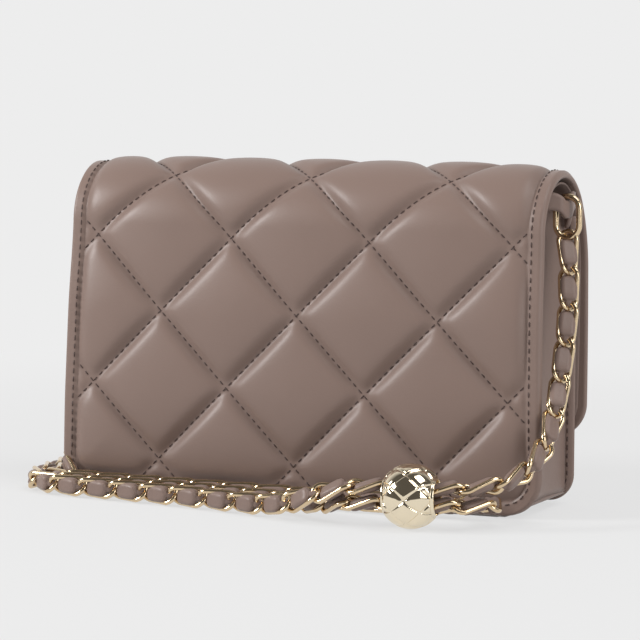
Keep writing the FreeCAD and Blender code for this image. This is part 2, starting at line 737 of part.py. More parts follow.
fold_line = size("back_height") - size("fold_gap")
back_lines = [size("foot_lift") + away for away in corner_lines(size("corner"))]
back_lines += grid_lines(size("quilt_start"), size("foot_lift") + CORNER_CLEAR * size("corner"),
                         fold_line - size("edge_band"))
back_lines.append(fold_line)
add_shape("back_panel", quilt_solid(back_lines, fold_line))
flap_lines = [size("back_height")]
flap_lines += grid_lines(size("quilt_start"), size("back_height") + size("edge_band"),
                         wall_end - CORNER_CLEAR * size("flap_corner"))
flap_lines += [wall_end - away for away in reversed(corner_lines(size("flap_corner")))]
add_shape("flap_quilt", quilt_solid(flap_lines, flap_lines[0]))


# Rings: an upright oval of wire on each strip

RING_SIDES = 8
RING_STEPS = 7


def ring_path(side):
    """Middle of the ring's wire: two half circles and two straight sides."""
    half = (size("ring_width") - size("ring_wire")) / 2
    low = size("ring_low") + half
    high = size("ring_top") - size("ring_wire") / 2 - half
    path = []
    for start, level in ((0, high), (math.pi, low)):
        for step in range(RING_STEPS + 1):
            angle = start + math.pi * step / RING_STEPS
            path.append(FreeCAD.Vector(
                side * size("strip_reach") + half * math.cos(angle), size("ring_place"),
                level + half * math.sin(angle)))
    return path


for hand, side in (("right", 1), ("left", -1)):
    path = ring_path(side)
    middle = sum(path, FreeCAD.Vector()) * (1 / len(path))
    add_shape(f"ring_{hand}", bent_wire(path, size("ring_wire") / 2, RING_SIDES, middle))


# Strap: the way of the chain from the right ring to the left ring, chosen by hand.
# Each point has the direction that the upper edge of the chain takes there.

ring_x = size("strip_reach")
hook_z = size("ring_low") + size("ring_wire") / 2
run_z = size("link_width") / 2 + size("strap_lift")
ball_z = size("ball_size") / 2 + size("strap_lift")
pass_z = size("channel_height") / 4
HANG = (0.7, 0.7, 0)
UP = (0, 0, 1)
DOWN = (0, 0, -1)
BALL_TURN = math.radians(size("ball_turn"))
FLAT = (-math.sin(BALL_TURN), math.cos(BALL_TURN), 0)


def by_ball(distance, level):
    """Point on the straight run through the ball, to the right of its middle."""
    return (size("ball_x") + distance * math.cos(BALL_TURN),
            size("ball_y") + distance * math.sin(BALL_TURN), level)


ROUTE = [
    ((ring_x, size("ring_place"), hook_z), HANG),
    ((97.6, -3, 88.5), HANG),
    ((99.6, -8, 74.5), HANG),
    ((100.4, -14, 60), HANG),
    ((100.6, -19.5, 46.5), HANG),
    ((101, -27, 33), (0.5, 0.7, -0.5)),
    ((100.6, -36.5, 23), (0.2, 0.5, -0.8)),
    ((96.3, -46.5, 17.3), (-0.3, 0.5, -0.8)),
    ((89.8, -55.5, 15.2), (-0.3, 0.8, -0.5)),
    (by_ball(17.7, ball_z + pass_z), FLAT),
    (by_ball(0, ball_z + pass_z + 0.1), FLAT),
    (by_ball(-22.7, ball_z + pass_z), FLAT),
    ((27, -70.5, 10.4), (-0.1, 0.8, 0.6)),
    ((13, -69.5, 5), (0, 0.3, 1)),
    ((-1, -64, run_z), UP),
    ((-26, -56.5, run_z), UP),
    ((-54, -50.4, run_z), UP),
    ((-76, -47.2, run_z), UP),
    ((-91, -44.6, run_z), UP),
    ((-101.5, -36.5, run_z), UP),
    ((-106, -23, run_z), UP),
    ((-108.5, -2, run_z), UP),
    ((-113.5, 19, run_z), UP),
    ((-120, 38, run_z), UP),
    ((-119.5, 57, run_z), UP),
    ((-107.5, 71, run_z), UP),
    ((-89.5, 71.5, run_z), UP),
    ((-78, 59, run_z), UP),
    ((-79.5, 42, run_z), UP),
    ((-93, 29, run_z), UP),
    ((-100.5, 11.5, run_z), UP),
    ((-101, -8, run_z), UP),
    ((-98.4, -28.2, run_z), UP),
    ((-86, -38.8, run_z), UP),
    ((-70, -40.6, run_z), UP),
    ((-40, -41.5, run_z), UP),
    ((-10, -44.5, run_z), UP),
    ((10, -49.5, run_z), UP),
    ((25, -57, 6), (0, 0.6, 0.8)),
    (by_ball(-22.7, ball_z - pass_z), FLAT),
    (by_ball(0, ball_z - pass_z - 0.1), FLAT),
    (by_ball(17.4, ball_z - pass_z), FLAT),
    ((86.1, -52, 8.2), (-0.97, 0.26, 0)),
    ((84.5, -40.7, 7), (-0.87, -0.5, -0.1)),
    ((75.4, -33.9, 5.6), (-0.26, -0.9, -0.4)),
    ((58, -36.2, 4.6), (0, -0.5, -0.9)),
    ((28, -36, run_z), DOWN),
    ((-5, -35, run_z), DOWN),
    ((-42, -34.2, run_z), DOWN),
    ((-69, -33.6, 5), DOWN),
    ((-86, -33.2, 10.9), DOWN),
    ((-96.8, -31.2, 16), (-0.2, 0.2, -0.95)),
    ((-101.4, -24, 22.5), (-0.5, 0.7, -0.5)),
    ((-101, -14.5, 33), (-0.2, 0.98, 0)),
    ((-99.6, -9, 46), (0.2, 0.98, 0)),
    ((-98.3, -6, 60.5), (0.5, 0.87, 0)),
    ((-97.3, -4, 74.5), HANG),
    ((-96.8, -2.5, 88.5), HANG),
    ((-ring_x, size("ring_place"), hook_z), HANG),
]
ROUTE_POINTS = [FreeCAD.Vector(*point) for point, edge in ROUTE]
ROUTE_EDGES = [FreeCAD.Vector(*edge) for point, edge in ROUTE]
BEND_SHARE = 0.45
BEND_STEPS = 16


def rounded_way(points):
    """Points along straight runs joined by tangent arcs, each with its share of the route."""
    way = [(points[0], 0.0)]
    radii = []
    for index in range(1, len(points) - 1):
        before, corner, after = points[index - 1:index + 2]
        back = before - corner
        ahead = after - corner
        cut = BEND_SHARE * min(back.Length, ahead.Length)
        back.normalize()
        ahead.normalize()
        half_turn = (math.pi - back.getAngle(ahead)) / 2
        radius = cut / math.tan(half_turn)
        radii.append(radius)
        centre = corner + (back + ahead).normalize() * (radius / math.cos(half_turn))
        start = corner + back * cut - centre
        end = corner + ahead * cut - centre
        sweep = 2 * half_turn
        for step in range(BEND_STEPS + 1):
            share = step / BEND_STEPS
            spoke = (start * math.sin((1 - share) * sweep) + end * math.sin(share * sweep))
            way.append((centre + spoke * (1 / math.sin(sweep)), index + share - 0.5))
    way.append((points[-1], len(points) - 1.0))
    return way, radii


way, bend_radii = rounded_way(ROUTE_POINTS)
way_length = sum((way[index + 1][0] - way[index][0]).Length for index in range(len(way) - 1))


def joints_at(chord, count):
    """Joint points one chord apart along the way, and the length left over after the last."""
    joints = [way[0]]
    segment = 0
    for number in range(count):
        here = joints[-1][0]
        while segment < len(way) - 2 and (way[segment + 1][0] - here).Length < chord:
            segment += 1
        start, end = way[segment][0], way[segment + 1][0]
        near, far = 0.0, 1.0
        for halving in range(40):
            middle = (near + far) / 2
            if (start + (end - start) * middle - here).Length < chord:
                near = middle
            else:
                far = middle
        share = way[segment][1] + (way[segment + 1][1] - way[segment][1]) * near
        joints.append((start + (end - start) * near, share))
    return joints, (way[-1][0] - joints[-1][0]).Length


wire = size("link_wire")
half_link = (size("link_length") - wire) / 2
link_count = round(way_length / (2 * half_link - wire - size("link_play")))
low, high = 0.9 * way_length / link_count, way_length / link_count
for halving in range(50):
    chord = (low + high) / 2
    joints, left = joints_at(chord, link_count)
    if left > size("glue") / 1000 and joints[-1][1] < len(ROUTE) - 1:
        low = chord
    else:
        high = chord
    if left < size("glue") / 1000:
        break
slack = 2 * half_link - wire - chord
print("strap length", round(way_length), "links", link_count, "pitch", round(chord, 3),
      "slack", round(slack, 3), "smallest bend radius", round(min(bend_radii), 1))


# Links: both ends of a link are turned against each other, so that the chain lies flat

LINK_SIDES = 5
LINK_BENDS = 3


def link_half():
    """Upper side of a link from its right tip to its left tip, tips left out."""
    twist = math.radians(size("link_twist"))
    spread = (size("link_width") - wire) / 2 / math.cos(twist)
    near, far = 0.0, math.pi / 2
    for halving in range(50):
        tilt = (near + far) / 2
        excess = (math.tan(tilt) * (half_link - spread * math.cos(tilt))
                  - spread * (math.sin(twist) - math.sin(tilt)))
        near, far = (near, tilt) if excess > 0 else (tilt, far)
    tip = FreeCAD.Vector(half_link, 0, 0)
    shoulder = FreeCAD.Vector(half_link - spread * math.cos(tilt), spread * math.cos(twist),
                              spread * (math.sin(twist) - math.sin(tilt)))
    along = FreeCAD.Vector(0, math.cos(twist), math.sin(twist))
    inward = shoulder - tip
    inward = (inward - along * inward.dot(along))
    bend = (shoulder - tip).Length ** 2 / (2 * inward.Length)
    inward.normalize()
    sweep = 2 * math.atan2((shoulder - tip).dot(inward), (shoulder - tip).dot(along))
    right = []
    for step in range(1, LINK_BENDS + 1):
        angle = sweep * step / LINK_BENDS
        right.append(tip + inward * (bend * (1 - math.cos(angle))) + along * (bend * math.sin(angle)))
    left = [FreeCAD.Vector(-point.x, point.y, -point.z) for point in right[::-1]]
    return right + left


def link_solid():
    """One link about its own middle, along X, its width along Y."""
    upper = link_half()
    lower = [FreeCAD.Vector(point.x, -point.y, -point.z) for point in upper[::-1]]
    tip = FreeCAD.Vector(half_link, 0, 0)
    return bent_wire([tip] + upper + [-tip] + lower, wire / 2, LINK_SIDES, FreeCAD.Vector())


def edge_at(share):
    """Direction of the chain's upper edge at a share of the route."""
    index = min(int(share), len(ROUTE_EDGES) - 2)
    part = share - index
    return ROUTE_EDGES[index] * (1 - part) + ROUTE_EDGES[index + 1] * part


def square_to(along, edge):
    """Edge direction turned square to the way, and the direction square to both."""
    edge = (edge - along * edge.dot(along)).normalize()
    return edge, along.cross(edge)


def frame_at(point, along, edge):
    """Placement with its X along the way and its Y along the chain's width."""
    edge, across = square_to(along, edge)
    return FreeCAD.Placement(FreeCAD.Matrix(
        along.x, edge.x, across.x, point.x,
        along.y, edge.y, across.y, point.y,
        along.z, edge.z, across.z, point.z,
        0, 0, 0, 1))


one_link = link_solid()
links = []
for (start, start_share), (end, end_share) in zip(joints, joints[1:]):
    along = (end - start).normalize()
    place = frame_at((start + end) * 0.5, along, edge_at((start_share + end_share) / 2))
    links.append((one_link.transformed(place.toMatrix()), place))

# Lace: flat in the middle of each link, gathered where it slips past the next link's end

def lace_loop(place, distance, shift, out, width):
    """Flat section of the lace in a link's frame, at a distance along it."""
    thick = size("lace_thick") / 2
    corners = [(shift - width / 2, out - thick), (shift + width / 2, out - thick),
               (shift + width / 2, out + thick), (shift - width / 2, out + thick)]
    return [place.multVec(FreeCAD.Vector(distance, across, level)) for across, level in corners]


def gathered_loop(place, end, bend):
    """Section of the lace near one end of a link (end 1 or -1), clear of the next link's tip."""
    out = -end * size("lace_give") * max(end * bend, 0)
    distance = end * (chord / 2 - size("lace_neck_reach"))
    return lace_loop(place, distance, size("lace_neck_shift"), out, size("lace_neck"))


LACE_STATIONS = 3
lace_loops = []
for number, (solid, place) in enumerate(links):
    if number > 0:
        lace_loops.append(gathered_loop(place, -1, bend))
    lace_loops.append(lace_loop(place, 0, 0, 0, size("lace_width")))
    if number + 1 < len(links):
        onward = links[number + 1][1].Rotation.multVec(FreeCAD.Vector(1, 0, 0))
        bend = onward.dot(place.Rotation.multVec(FreeCAD.Vector(0, 0, 1)))
        lace_loops.append(gathered_loop(place, 1, bend))

# Stretches of the strap, each from one link to another

STRETCHES = [("drop_right", 0.1), ("front_run", 0.36), ("loop", 0.6), ("back_run", 0.86),
             ("drop_left", 1.0)]
first = 0
for name, share in STRETCHES:
    last = round(share * link_count)
    add_shape(f"chain_{name}", Part.makeCompound([solid for solid, place in links[first:last]]))
    begin = LACE_STATIONS * first
    finish = LACE_STATIONS * last if last < link_count else len(lace_loops) - 1
    add_shape(f"lace_{name}", tube_solid(lace_loops[begin:finish + 1], False))
    first = last

# Ball: quilted shell with a way through it for both runs of the chain, and its soft sleeve

BALL_ROUND = 10
BALL_ROWS = 5


def ball_solid():
    """Faceted ball about its own middle: low points on the engraved lines, high ones between."""
    radius = size("ball_size") / 2
    low = radius - size("ball_groove")
    reach = math.acos(size("ball_end") / radius)
    points = []
    for row in range(2 * BALL_ROWS + 1):
        polar = reach + (math.pi - 2 * reach) * row / (2 * BALL_ROWS)
        for step in range(2 * BALL_ROUND):
            around = math.pi * step / BALL_ROUND
            crossing = (row + step) % 2 == 0
            far = low if crossing else radius
            points.append(FreeCAD.Vector(
                far * math.cos(polar), far * math.sin(polar) * math.cos(around),
                far * math.sin(polar) * math.sin(around)))
    count = 2 * BALL_ROUND
    loops = [points[row * count:(row + 1) * count] for row in range(2 * BALL_ROWS + 1)]
    return tube_solid(loops, False)


def ball_box(name, length, width, height):
    """Box about the ball's middle, along the run through it."""
    box = doc.addObject("Part::Box", name)
    for side, text in (("Length", length), ("Width", width), ("Height", height)):
        box.setExpression(side, named(text))
    turn = FreeCAD.Rotation(FreeCAD.Vector(0, 0, 1), size("ball_turn"))
    half = FreeCAD.Vector(value(length), value(width), value(height)) * -0.5
    middle = FreeCAD.Vector(size("ball_x"), size("ball_y"), ball_z)
    box.Placement = FreeCAD.Placement(middle + turn.multVec(half), turn)
    return box


def cut_part(label, base, tool):
    """Sub-part left of a base when a tool is taken away."""
    part = doc.addObject("Part::Cut", label)
    part.Label = label
    part.Base = base
    part.Tool = tool
    PARTS.append(part)


core = doc.addObject("Part::Feature", "ball_core")
core.Shape = ball_solid()
core.Placement = FreeCAD.Placement(
    FreeCAD.Vector(size("ball_x"), size("ball_y"), ball_z),
    FreeCAD.Rotation(FreeCAD.Vector(0, 0, 1), size("ball_turn")))
hole = ball_box("ball_hole", "2 * ball_size", "channel_width + 2 * (sleeve_wall + glue)",
                "channel_height + 2 * (sleeve_wall + glue)")
cut_part("ball_shell", core, hole)
sleeve = ball_box("sleeve_block", "sleeve_length", "channel_width + 2 * sleeve_wall",
                  "channel_height + 2 * sleeve_wall")
channel = ball_box("sleeve_channel", "2 * ball_size", "channel_width", "channel_height")
cut_part("ball_sleeve", sleeve, channel)

# Check and write the sub-parts

doc.recompute()
os.makedirs("parts", exist_ok=True)
for part in PARTS:
    if "Invalid" in part.State or "Error" in part.State:
        raise RuntimeError(f"{part.Label} did not build: {part.State}")
    if part.Shape.isNull() or not part.Shape.isValid():
        raise RuntimeError(f"{part.Label} has no sound shape")
    part.Shape.exportStep(f"parts/{part.Label}.step")
print("sub-parts", len(PARTS))
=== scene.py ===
import math
import bmesh
import bpy
from mathutils import Matrix, Vector


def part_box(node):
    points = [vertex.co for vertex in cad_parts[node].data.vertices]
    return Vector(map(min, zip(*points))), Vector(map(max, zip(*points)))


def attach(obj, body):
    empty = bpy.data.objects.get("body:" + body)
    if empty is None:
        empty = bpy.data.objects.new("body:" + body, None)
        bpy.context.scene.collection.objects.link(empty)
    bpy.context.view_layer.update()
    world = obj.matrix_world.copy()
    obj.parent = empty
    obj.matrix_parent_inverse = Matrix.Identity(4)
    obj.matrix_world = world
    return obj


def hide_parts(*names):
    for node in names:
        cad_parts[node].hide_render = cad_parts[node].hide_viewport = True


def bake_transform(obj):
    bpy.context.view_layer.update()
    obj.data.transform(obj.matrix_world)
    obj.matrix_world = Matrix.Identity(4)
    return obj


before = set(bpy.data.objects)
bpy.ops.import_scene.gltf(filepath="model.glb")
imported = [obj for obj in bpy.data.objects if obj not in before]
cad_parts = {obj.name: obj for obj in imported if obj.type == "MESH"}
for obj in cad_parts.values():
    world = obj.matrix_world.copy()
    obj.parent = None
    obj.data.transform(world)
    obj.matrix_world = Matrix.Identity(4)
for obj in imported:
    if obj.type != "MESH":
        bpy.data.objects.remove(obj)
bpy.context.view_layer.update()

# Quilted flap bag with a woven chain strap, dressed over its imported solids.
# Metres, +Z up. The quilted back faces -Y and the flap hangs in front at +Y.
mm = 0.001

# Boards: thin fibre boards that keep the walls flat.
# They are die-cut and glued between the leather and the lining,
# so nothing of them shows on the finished bag.


def new_finish(name):
    """Empty finish with its node tree and surface shader."""
    finish = bpy.data.materials.new(name)
    finish.use_nodes = True
    return finish, finish.node_tree, finish.node_tree.nodes["Principled BSDF"]


def set_inputs(node, **values):
    """Sets inputs of a node; an underscore in a name stands for a space."""
    for name, value in values.items():
        node.inputs[name.replace("_", " ")].default_value = value


def new_node(tree, kind, **values):
    """New node of a tree, with some of its inputs set."""
    node = tree.nodes.new(f"ShaderNode{kind}")
    set_inputs(node, **values)
    return node


def cloud(tree, scale, detail):
    """Soft noise laid over the piece in its own place."""
    place = new_node(tree, "TexCoord")
    noise = new_node(tree, "TexNoise", Scale=scale, Detail=detail)
    tree.links.new(place.outputs["Object"], noise.inputs["Vector"])
    return noise.outputs["Fac"]


def pebbles(tree, scale):
    """Close-set cells, like the pores of leather."""
    place = new_node(tree, "TexCoord")
    cells = new_node(tree, "TexVoronoi", Scale=scale)
    tree.links.new(place.outputs["Object"], cells.inputs["Vector"])
    return cells.outputs["Distance"]


def tint(tree, value, dark, pale, socket):
    """Colour that runs from dark to pale with a value."""
    mix = new_node(tree, "Mix")
    mix.data_type = "RGBA"
    set_inputs(mix, A=(*dark, 1), B=(*pale, 1))
    tree.links.new(value, mix.inputs["Factor"])
    tree.links.new(mix.outputs["Result"], socket)


def spread(tree, value, low, high, socket):
    """Number that runs from low to high with a value."""
    span = new_node(tree, "MapRange", To_Min=low, To_Max=high)
    tree.links.new(value, span.inputs["Value"])
    tree.links.new(span.outputs["Result"], socket)


def relief(tree, value, depth, under=None):
    """Fine relief from a value, laid over another relief if there is one."""
    bump = new_node(tree, "Bump", Strength=1, Distance=depth)
    tree.links.new(value, bump.inputs["Height"])
    if under:
        tree.links.new(under, bump.inputs["Normal"])
    return bump.outputs["Normal"]


def shades(colour, uneven):
    """Darker and paler neighbour of a colour."""
    return [tuple(part * share for part in colour) for share in (1 - uneven, 1 + uneven)]


def matt_finish(name, colour, uneven, speckle, roughness, grain=None):
    """Dull finish: speckles of a scale and detail, and maybe a grain of a scale, detail and depth."""
    finish, tree, shader = new_finish(name)
    tint(tree, cloud(tree, *speckle), *shades(colour, uneven), shader.inputs["Base Color"])
    set_inputs(shader, Roughness=roughness)
    if grain:
        scale, detail, depth = grain
        tree.links.new(relief(tree, cloud(tree, scale, detail), depth), shader.inputs["Normal"])
    return finish


def paint(node, finish):
    """Gives a solid of the frame its finish."""
    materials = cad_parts[node].data.materials
    materials.clear()
    materials.append(finish)


grey_board = matt_finish("fibre_board", (0.42, 0.36, 0.28), uneven=0.15, speckle=(900, 4), roughness=0.85,
                         grain=(1500, 3, 0.1 * mm))
for node in ("back_board", "front_board", "base_board", "flap_board"):
    paint(node, grey_board)

# Walls: the lines that all leather of the bag follows, from the side.
# The back leans, rounds over an arch and a wider shoulder,
# and comes down in front as the flap.

DEPTH = 57 * mm
CREST = 124 * mm
ARCH = 24 * mm
LEAN = math.radians(2.9)
ARCH_END = math.radians(30)
FLAP_LOW = 23.5 * mm
SWEEP = math.radians(4)
FOOT = 1 * mm
HALF_LOW = 96 * mm
HALF_TOP = 94 * mm
HALF_FLAP = 96 * mm
BACK_CORNER = 14 * mm
FLAP_CORNER = 13 * mm

arch_z = CREST - ARCH
fold_z = arch_z + ARCH * math.sin(LEAN)
fold_y = -DEPTH / 2 + fold_z * math.tan(LEAN)
arch_y = fold_y + ARCH * math.cos(LEAN)
shoulder_radius = (DEPTH / 2 - arch_y - ARCH * math.cos(ARCH_END)) / (1 - math.cos(ARCH_END))
shoulder_z = arch_z + (ARCH - shoulder_radius) * math.sin(ARCH_END)
face_radius = (shoulder_z - FLAP_LOW) / math.sin(SWEEP)
back_length = fold_z / math.cos(LEAN)
arch_length = ARCH * (math.pi - LEAN - ARCH_END)
shoulder_length = shoulder_radius * ARCH_END
wall_length = back_length + arch_length + shoulder_length + face_radius * SWEEP


def wall_place(along):
    """Depth, height and outward direction at a distance up the back and over to the flap's edge."""
    if along <= back_length:
        place = (-DEPTH / 2 + along * math.sin(LEAN), along * math.cos(LEAN))
        return place, (-math.cos(LEAN), math.sin(LEAN))
    along -= back_length
    if along <= arch_length:
        angle = math.pi - LEAN - along / ARCH
        middle, radius = (arch_y, arch_z), ARCH
    elif along <= arch_length + shoulder_length:
        angle = ARCH_END - (along - arch_length) / shoulder_radius
        middle, radius = (DEPTH / 2 - shoulder_radius, shoulder_z), shoulder_radius
    else:
        angle = -(along - arch_length - shoulder_length) / face_radius
        middle, radius = (DEPTH / 2 - face_radius, shoulder_z), face_radius
    out = (math.cos(angle), math.sin(angle))
    return (middle[0] + radius * out[0], middle[1] + radius * out[1]), out


def on_wall(across, along, out):
    """Point of the wall, raised outwards."""
    place, normal = wall_place(along)
    return Vector((across, place[0] + normal[0] * out, place[1] + normal[1] * out))


def ease(value, low, high):
    """Smooth step from 0 at low to 1 at high."""
    share = min(max((value - low) / (high - low), 0), 1)
    return share * share * (3 - 2 * share)


# Base: one plain leather sheet under the bag, sewn between the back and the front,
# with a lining sheet glued inside. Taupe leather, smooth with a low sheen.

TAUPE = (0.198, 0.139, 0.117)
LINING_TAUPE = (0.17, 0.12, 0.102)
PLAIN_THICK = 1.4 * mm
LINING_THICK = 0.8 * mm
TURN_MOST = 1 * mm
BASE_LIFT = 4 * mm
BASE_END = 12 * mm
BASE_ROWS = 12
BASE_COLUMNS = 96


def leather_finish(name, colour, roughness, pores):
    """Smooth taupe leather: soft clouds of colour, fine pores and an even low sheen."""
    finish, tree, shader = new_finish(name)
    tint(tree, cloud(tree, 22, 3), *shades(colour, 0.06), shader.inputs["Base Color"])
    spread(tree, cloud(tree, 160, 3), roughness - 0.04, roughness + 0.05, shader.inputs["Roughness"])
    set_inputs(shader, Specular_IOR_Level=0.28, Sheen_Weight=0.08, Sheen_Roughness=0.4)
    wrinkles = relief(tree, cloud(tree, 240, 4), pores)
    tree.links.new(relief(tree, pebbles(tree, 1500), pores * 0.6, wrinkles), shader.inputs["Normal"])
    return finish


plain_leather = leather_finish("plain_taupe_leather", TAUPE, 0.42, 0.05 * mm)
lining_leather = leather_finish("lining_leather", LINING_TAUPE, 0.6, 0.04 * mm)


def make_piece(name, points, faces, finish):
    """Smooth mesh object with its faces turned outwards."""
    mesh = bpy.data.meshes.new(name)
    mesh.from_pydata(points, [], faces)
    shape = bmesh.new()
    shape.from_mesh(mesh)
    bmesh.ops.recalc_face_normals(shape, faces=shape.faces)
    shape.to_mesh(mesh)
    shape.free()
    mesh.polygons.foreach_set("use_smooth", [True] * len(mesh.polygons))
    mesh.materials.append(finish)
    piece = bpy.data.objects.new(name, mesh)
    bpy.context.scene.collection.objects.link(piece)
    return piece


def sheet_piece(name, rows, columns, face, back, rim, finish):
    """Closed sheet: face and back give its two sides, rim the turned edge between them.

    Each takes a row and a column, from 0 to rows and 0 to columns.
    """
    wide = columns + 1
    points = [face(row, column) for row in range(rows + 1) for column in range(wide)]
    points += [back(row, column) for row in range(rows + 1) for column in range(wide)]
    below = (rows + 1) * wide
    faces = []
    for row in range(rows):
        for column in range(columns):
            corner = row * wide + column
            quad = (corner, corner + 1, corner + wide + 1, corner + wide)
            faces.append(quad)
            faces.append(tuple(below + index for index in reversed(quad)))
    border = [(0, column) for column in range(columns)]
    border += [(row, columns) for row in range(rows)]
    border += [(rows, column) for column in range(columns, 0, -1)]
    border += [(row, 0) for row in range(rows, 0, -1)]
    first = len(points)
    points += [rim(row, column) for row, column in border]
    for index, (row, column) in enumerate(border):
        after = (index + 1) % len(border)
        here = row * wide + column
        there = border[after][0] * wide + border[after][1]
        faces.append((here, first + index, first + after, there))
        faces.append((below + here, below + there, first + after, first + index))
    return make_piece(name, points, faces, finish)


def turned_sheet(name, rows, columns, place, thick, edge, finish):
    """Sheet with a turned edge.

    Place takes a row, a column, a depth below the face and how far the edge is drawn in.
    """
    return sheet_piece(
        name, rows, columns,
        lambda row, column: place(row, column, 0, edge),
        lambda row, column: place(row, column, thick, edge),
        lambda row, column: place(row, column, thick / 2, 0), finish)


def flat_sheet(name, low, high, thick, turn, finish, rows=12, columns=24):
    """Flat sheet with turned edges in its own plane; turn takes a place across, up and a depth to a point."""

    def place(row, column, depth, inset):
        """Point of the sheet, turned into its place."""
        across = low[0] + inset + (high[0] - low[0] - 2 * inset) * column / columns
        up = low[1] + inset + (high[1] - low[1] - 2 * inset) * row / rows
        return turn(across, up, depth)

    return turned_sheet(name, rows, columns, place, thick, min(thick, TURN_MOST) / 2, finish)


def dress(piece, body, slot, *nodes):
    """Fixes a piece to a body and lets it stand for its solids."""
    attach(piece, body)
    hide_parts(*nodes)


base_low, base_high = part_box("base_panel")


def on_base(across, up, depth):
    """Point of the base: flat on the floor, rising to its rounded ends."""
    lift = BASE_LIFT * ease(abs(across), base_high.x - BASE_END, base_high.x)
    return Vector((across, up, lift + depth))


base = flat_sheet("base_leather", (base_low.x, base_low.y), (base_high.x, base_high.y), PLAIN_THICK, on_base,
                  plain_leather, BASE_ROWS, BASE_COLUMNS)
dress(base, "bag_body", "leather", "base_panel")
floor_low, floor_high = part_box("base_lining")
base_lining = flat_sheet("base_lining_leather", (floor_low.x, floor_low.y), (floor_high.x, floor_high.y),
                         LINING_THICK, lambda across, up, depth: Vector((across, up, floor_high.z - depth)),
                         lining_leather)
dress(base_lining, "bag_body", "lining", "base_lining")

# Back lining and slip pocket: smooth lining leather glued to the back board,
# with a flat pocket sewn to it on three sides. The mouth of the pocket is turned over.

LINING_DEPTH = 5.8 * mm
LINING_ROWS = 40
POCKET_DEPTH = 6.7 * mm
lining_low, lining_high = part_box("back_lining")
back_lining = flat_sheet("back_lining_leather", (lining_low.x, lining_low.z), (lining_high.x, back_length),
                         LINING_THICK, lambda across, up, depth: on_wall(across, up, depth - LINING_DEPTH),
                         lining_leather, LINING_ROWS)
pocket_low, pocket_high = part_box("slip_pocket")
slip_pocket = flat_sheet("slip_pocket_leather", (pocket_low.x, pocket_low.z), (pocket_high.x, pocket_high.z),
                         LINING_THICK, lambda across, up, depth: on_wall(across, up, depth - POCKET_DEPTH),
                         lining_leather)
dress(slip_pocket, "bag_body", "lining", "slip_pocket")

# Front panel: plain leather with a turned edge and a line of stitches near it.
# The gussets are sewn to its back a little way in from the edge.

FRONT_FACE = 17.5 * mm
FRONT_HALF = 94 * mm
FRONT_TOP = 106 * mm
FRONT_CORNER = 10 * mm
FRONT_THICK = 1.9 * mm
FRONT_ROWS = 40
FRONT_COLUMNS = 80
FRONT_STITCH_INSET = 2.4 * mm
EDGE_ROUND = 0.5 * mm
CORNER_STEPS = 12


def corner_rows(start, corner):
    """Distances from a straight end up to the top of its rounded corners."""
    angles = [math.pi / 2 * step / CORNER_STEPS for step in range(CORNER_STEPS)]
    return [start + corner * (1 - math.cos(angle)) for angle in angles]


def corner_half(half, corner, up):
    """Half width of a panel at a distance from the end that has rounded corners."""
    if up >= corner:
        return half
    return half - corner + math.sqrt(max(corner ** 2 - (corner - up) ** 2, 0))


front_low = FOOT + FRONT_CORNER
front_rows = corner_rows(FOOT, FRONT_CORNER)
front_rows += [front_low + (FRONT_TOP - front_low) * step / FRONT_ROWS for step in range(FRONT_ROWS + 1)]


def on_front(row, column, depth, inset):
    """Point of the front panel."""
    up = front_rows[row]
    half = corner_half(FRONT_HALF, FRONT_CORNER, up - FOOT) - inset
    up = min(max(up, FOOT + inset), FRONT_TOP - inset)
    return Vector((half * (2 * column / FRONT_COLUMNS - 1), FRONT_FACE - depth, up))


front = turned_sheet("front_leather", len(front_rows) - 1, FRONT_COLUMNS, on_front, FRONT_THICK, EDGE_ROUND,
                     plain_leather)
dress(front, "bag_body", "leather", "front_panel")

inner_low, inner_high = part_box("front_lining")
front_lining = flat_sheet("front_lining_leather", (inner_low.x, inner_low.z), (inner_high.x, inner_high.z),
                          LINING_THICK, lambda across, up, depth: Vector((across, inner_low.y + depth, up)),
                          lining_leather)
dress(front_lining, "bag_body", "lining", "front_lining")

STITCH_PITCH = 3.1 * mm
STITCH_LENGTH = 2.1 * mm
STITCH_RADIUS = 0.26 * mm
STITCH_SIDES = 6
STITCH_PROBE = 0.2 * mm
# Each ring of a stitch: its share of the half length, of the radius, and its lift in radii.
STITCH_RINGS = ((-1, 0.35, -0.7), (-0.72, 0.9, 0.15), (0, 1, 0.4), (0.72, 0.9, 0.15), (1, 0.35, -0.7))
thread = matt_finish("dark_brown_thread", (0.06, 0.034, 0.028), uneven=0.3, speckle=(2500, 2), roughness=0.55,
                     grain=(4000, 1, 0.05 * mm))


def add_bands(faces, starts, sides):
    """Bands of faces from each ring of points to the next; starts are the rings' first points."""
    for here, there in zip(starts, starts[1:]):
        for side in range(sides):
            after = (side + 1) % sides
            faces.append((here + side, here + after, there + after, there + side))


def add_stitch(points, faces, middle, along, out):
    """One stitch: a short bowed thread whose ends dip into the leather."""
    beside = along.cross(out).normalized()
    first = len(points)
    for reach, girth, lift in STITCH_RINGS:
        centre = middle + along * (reach * STITCH_LENGTH / 2) + out * (lift * STITCH_RADIUS)
        for side in range(STITCH_SIDES):
            angle = 2 * math.pi * side / STITCH_SIDES
            outward = out * math.sin(angle) + beside * math.cos(angle)
            points.append(centre + outward * (STITCH_RADIUS * girth))
    starts = range(first, len(points), STITCH_SIDES)
    add_bands(faces, starts, STITCH_SIDES)
    faces.append(tuple(first + side for side in reversed(range(STITCH_SIDES))))
    faces.append(tuple(starts[-1] + side for side in range(STITCH_SIDES)))


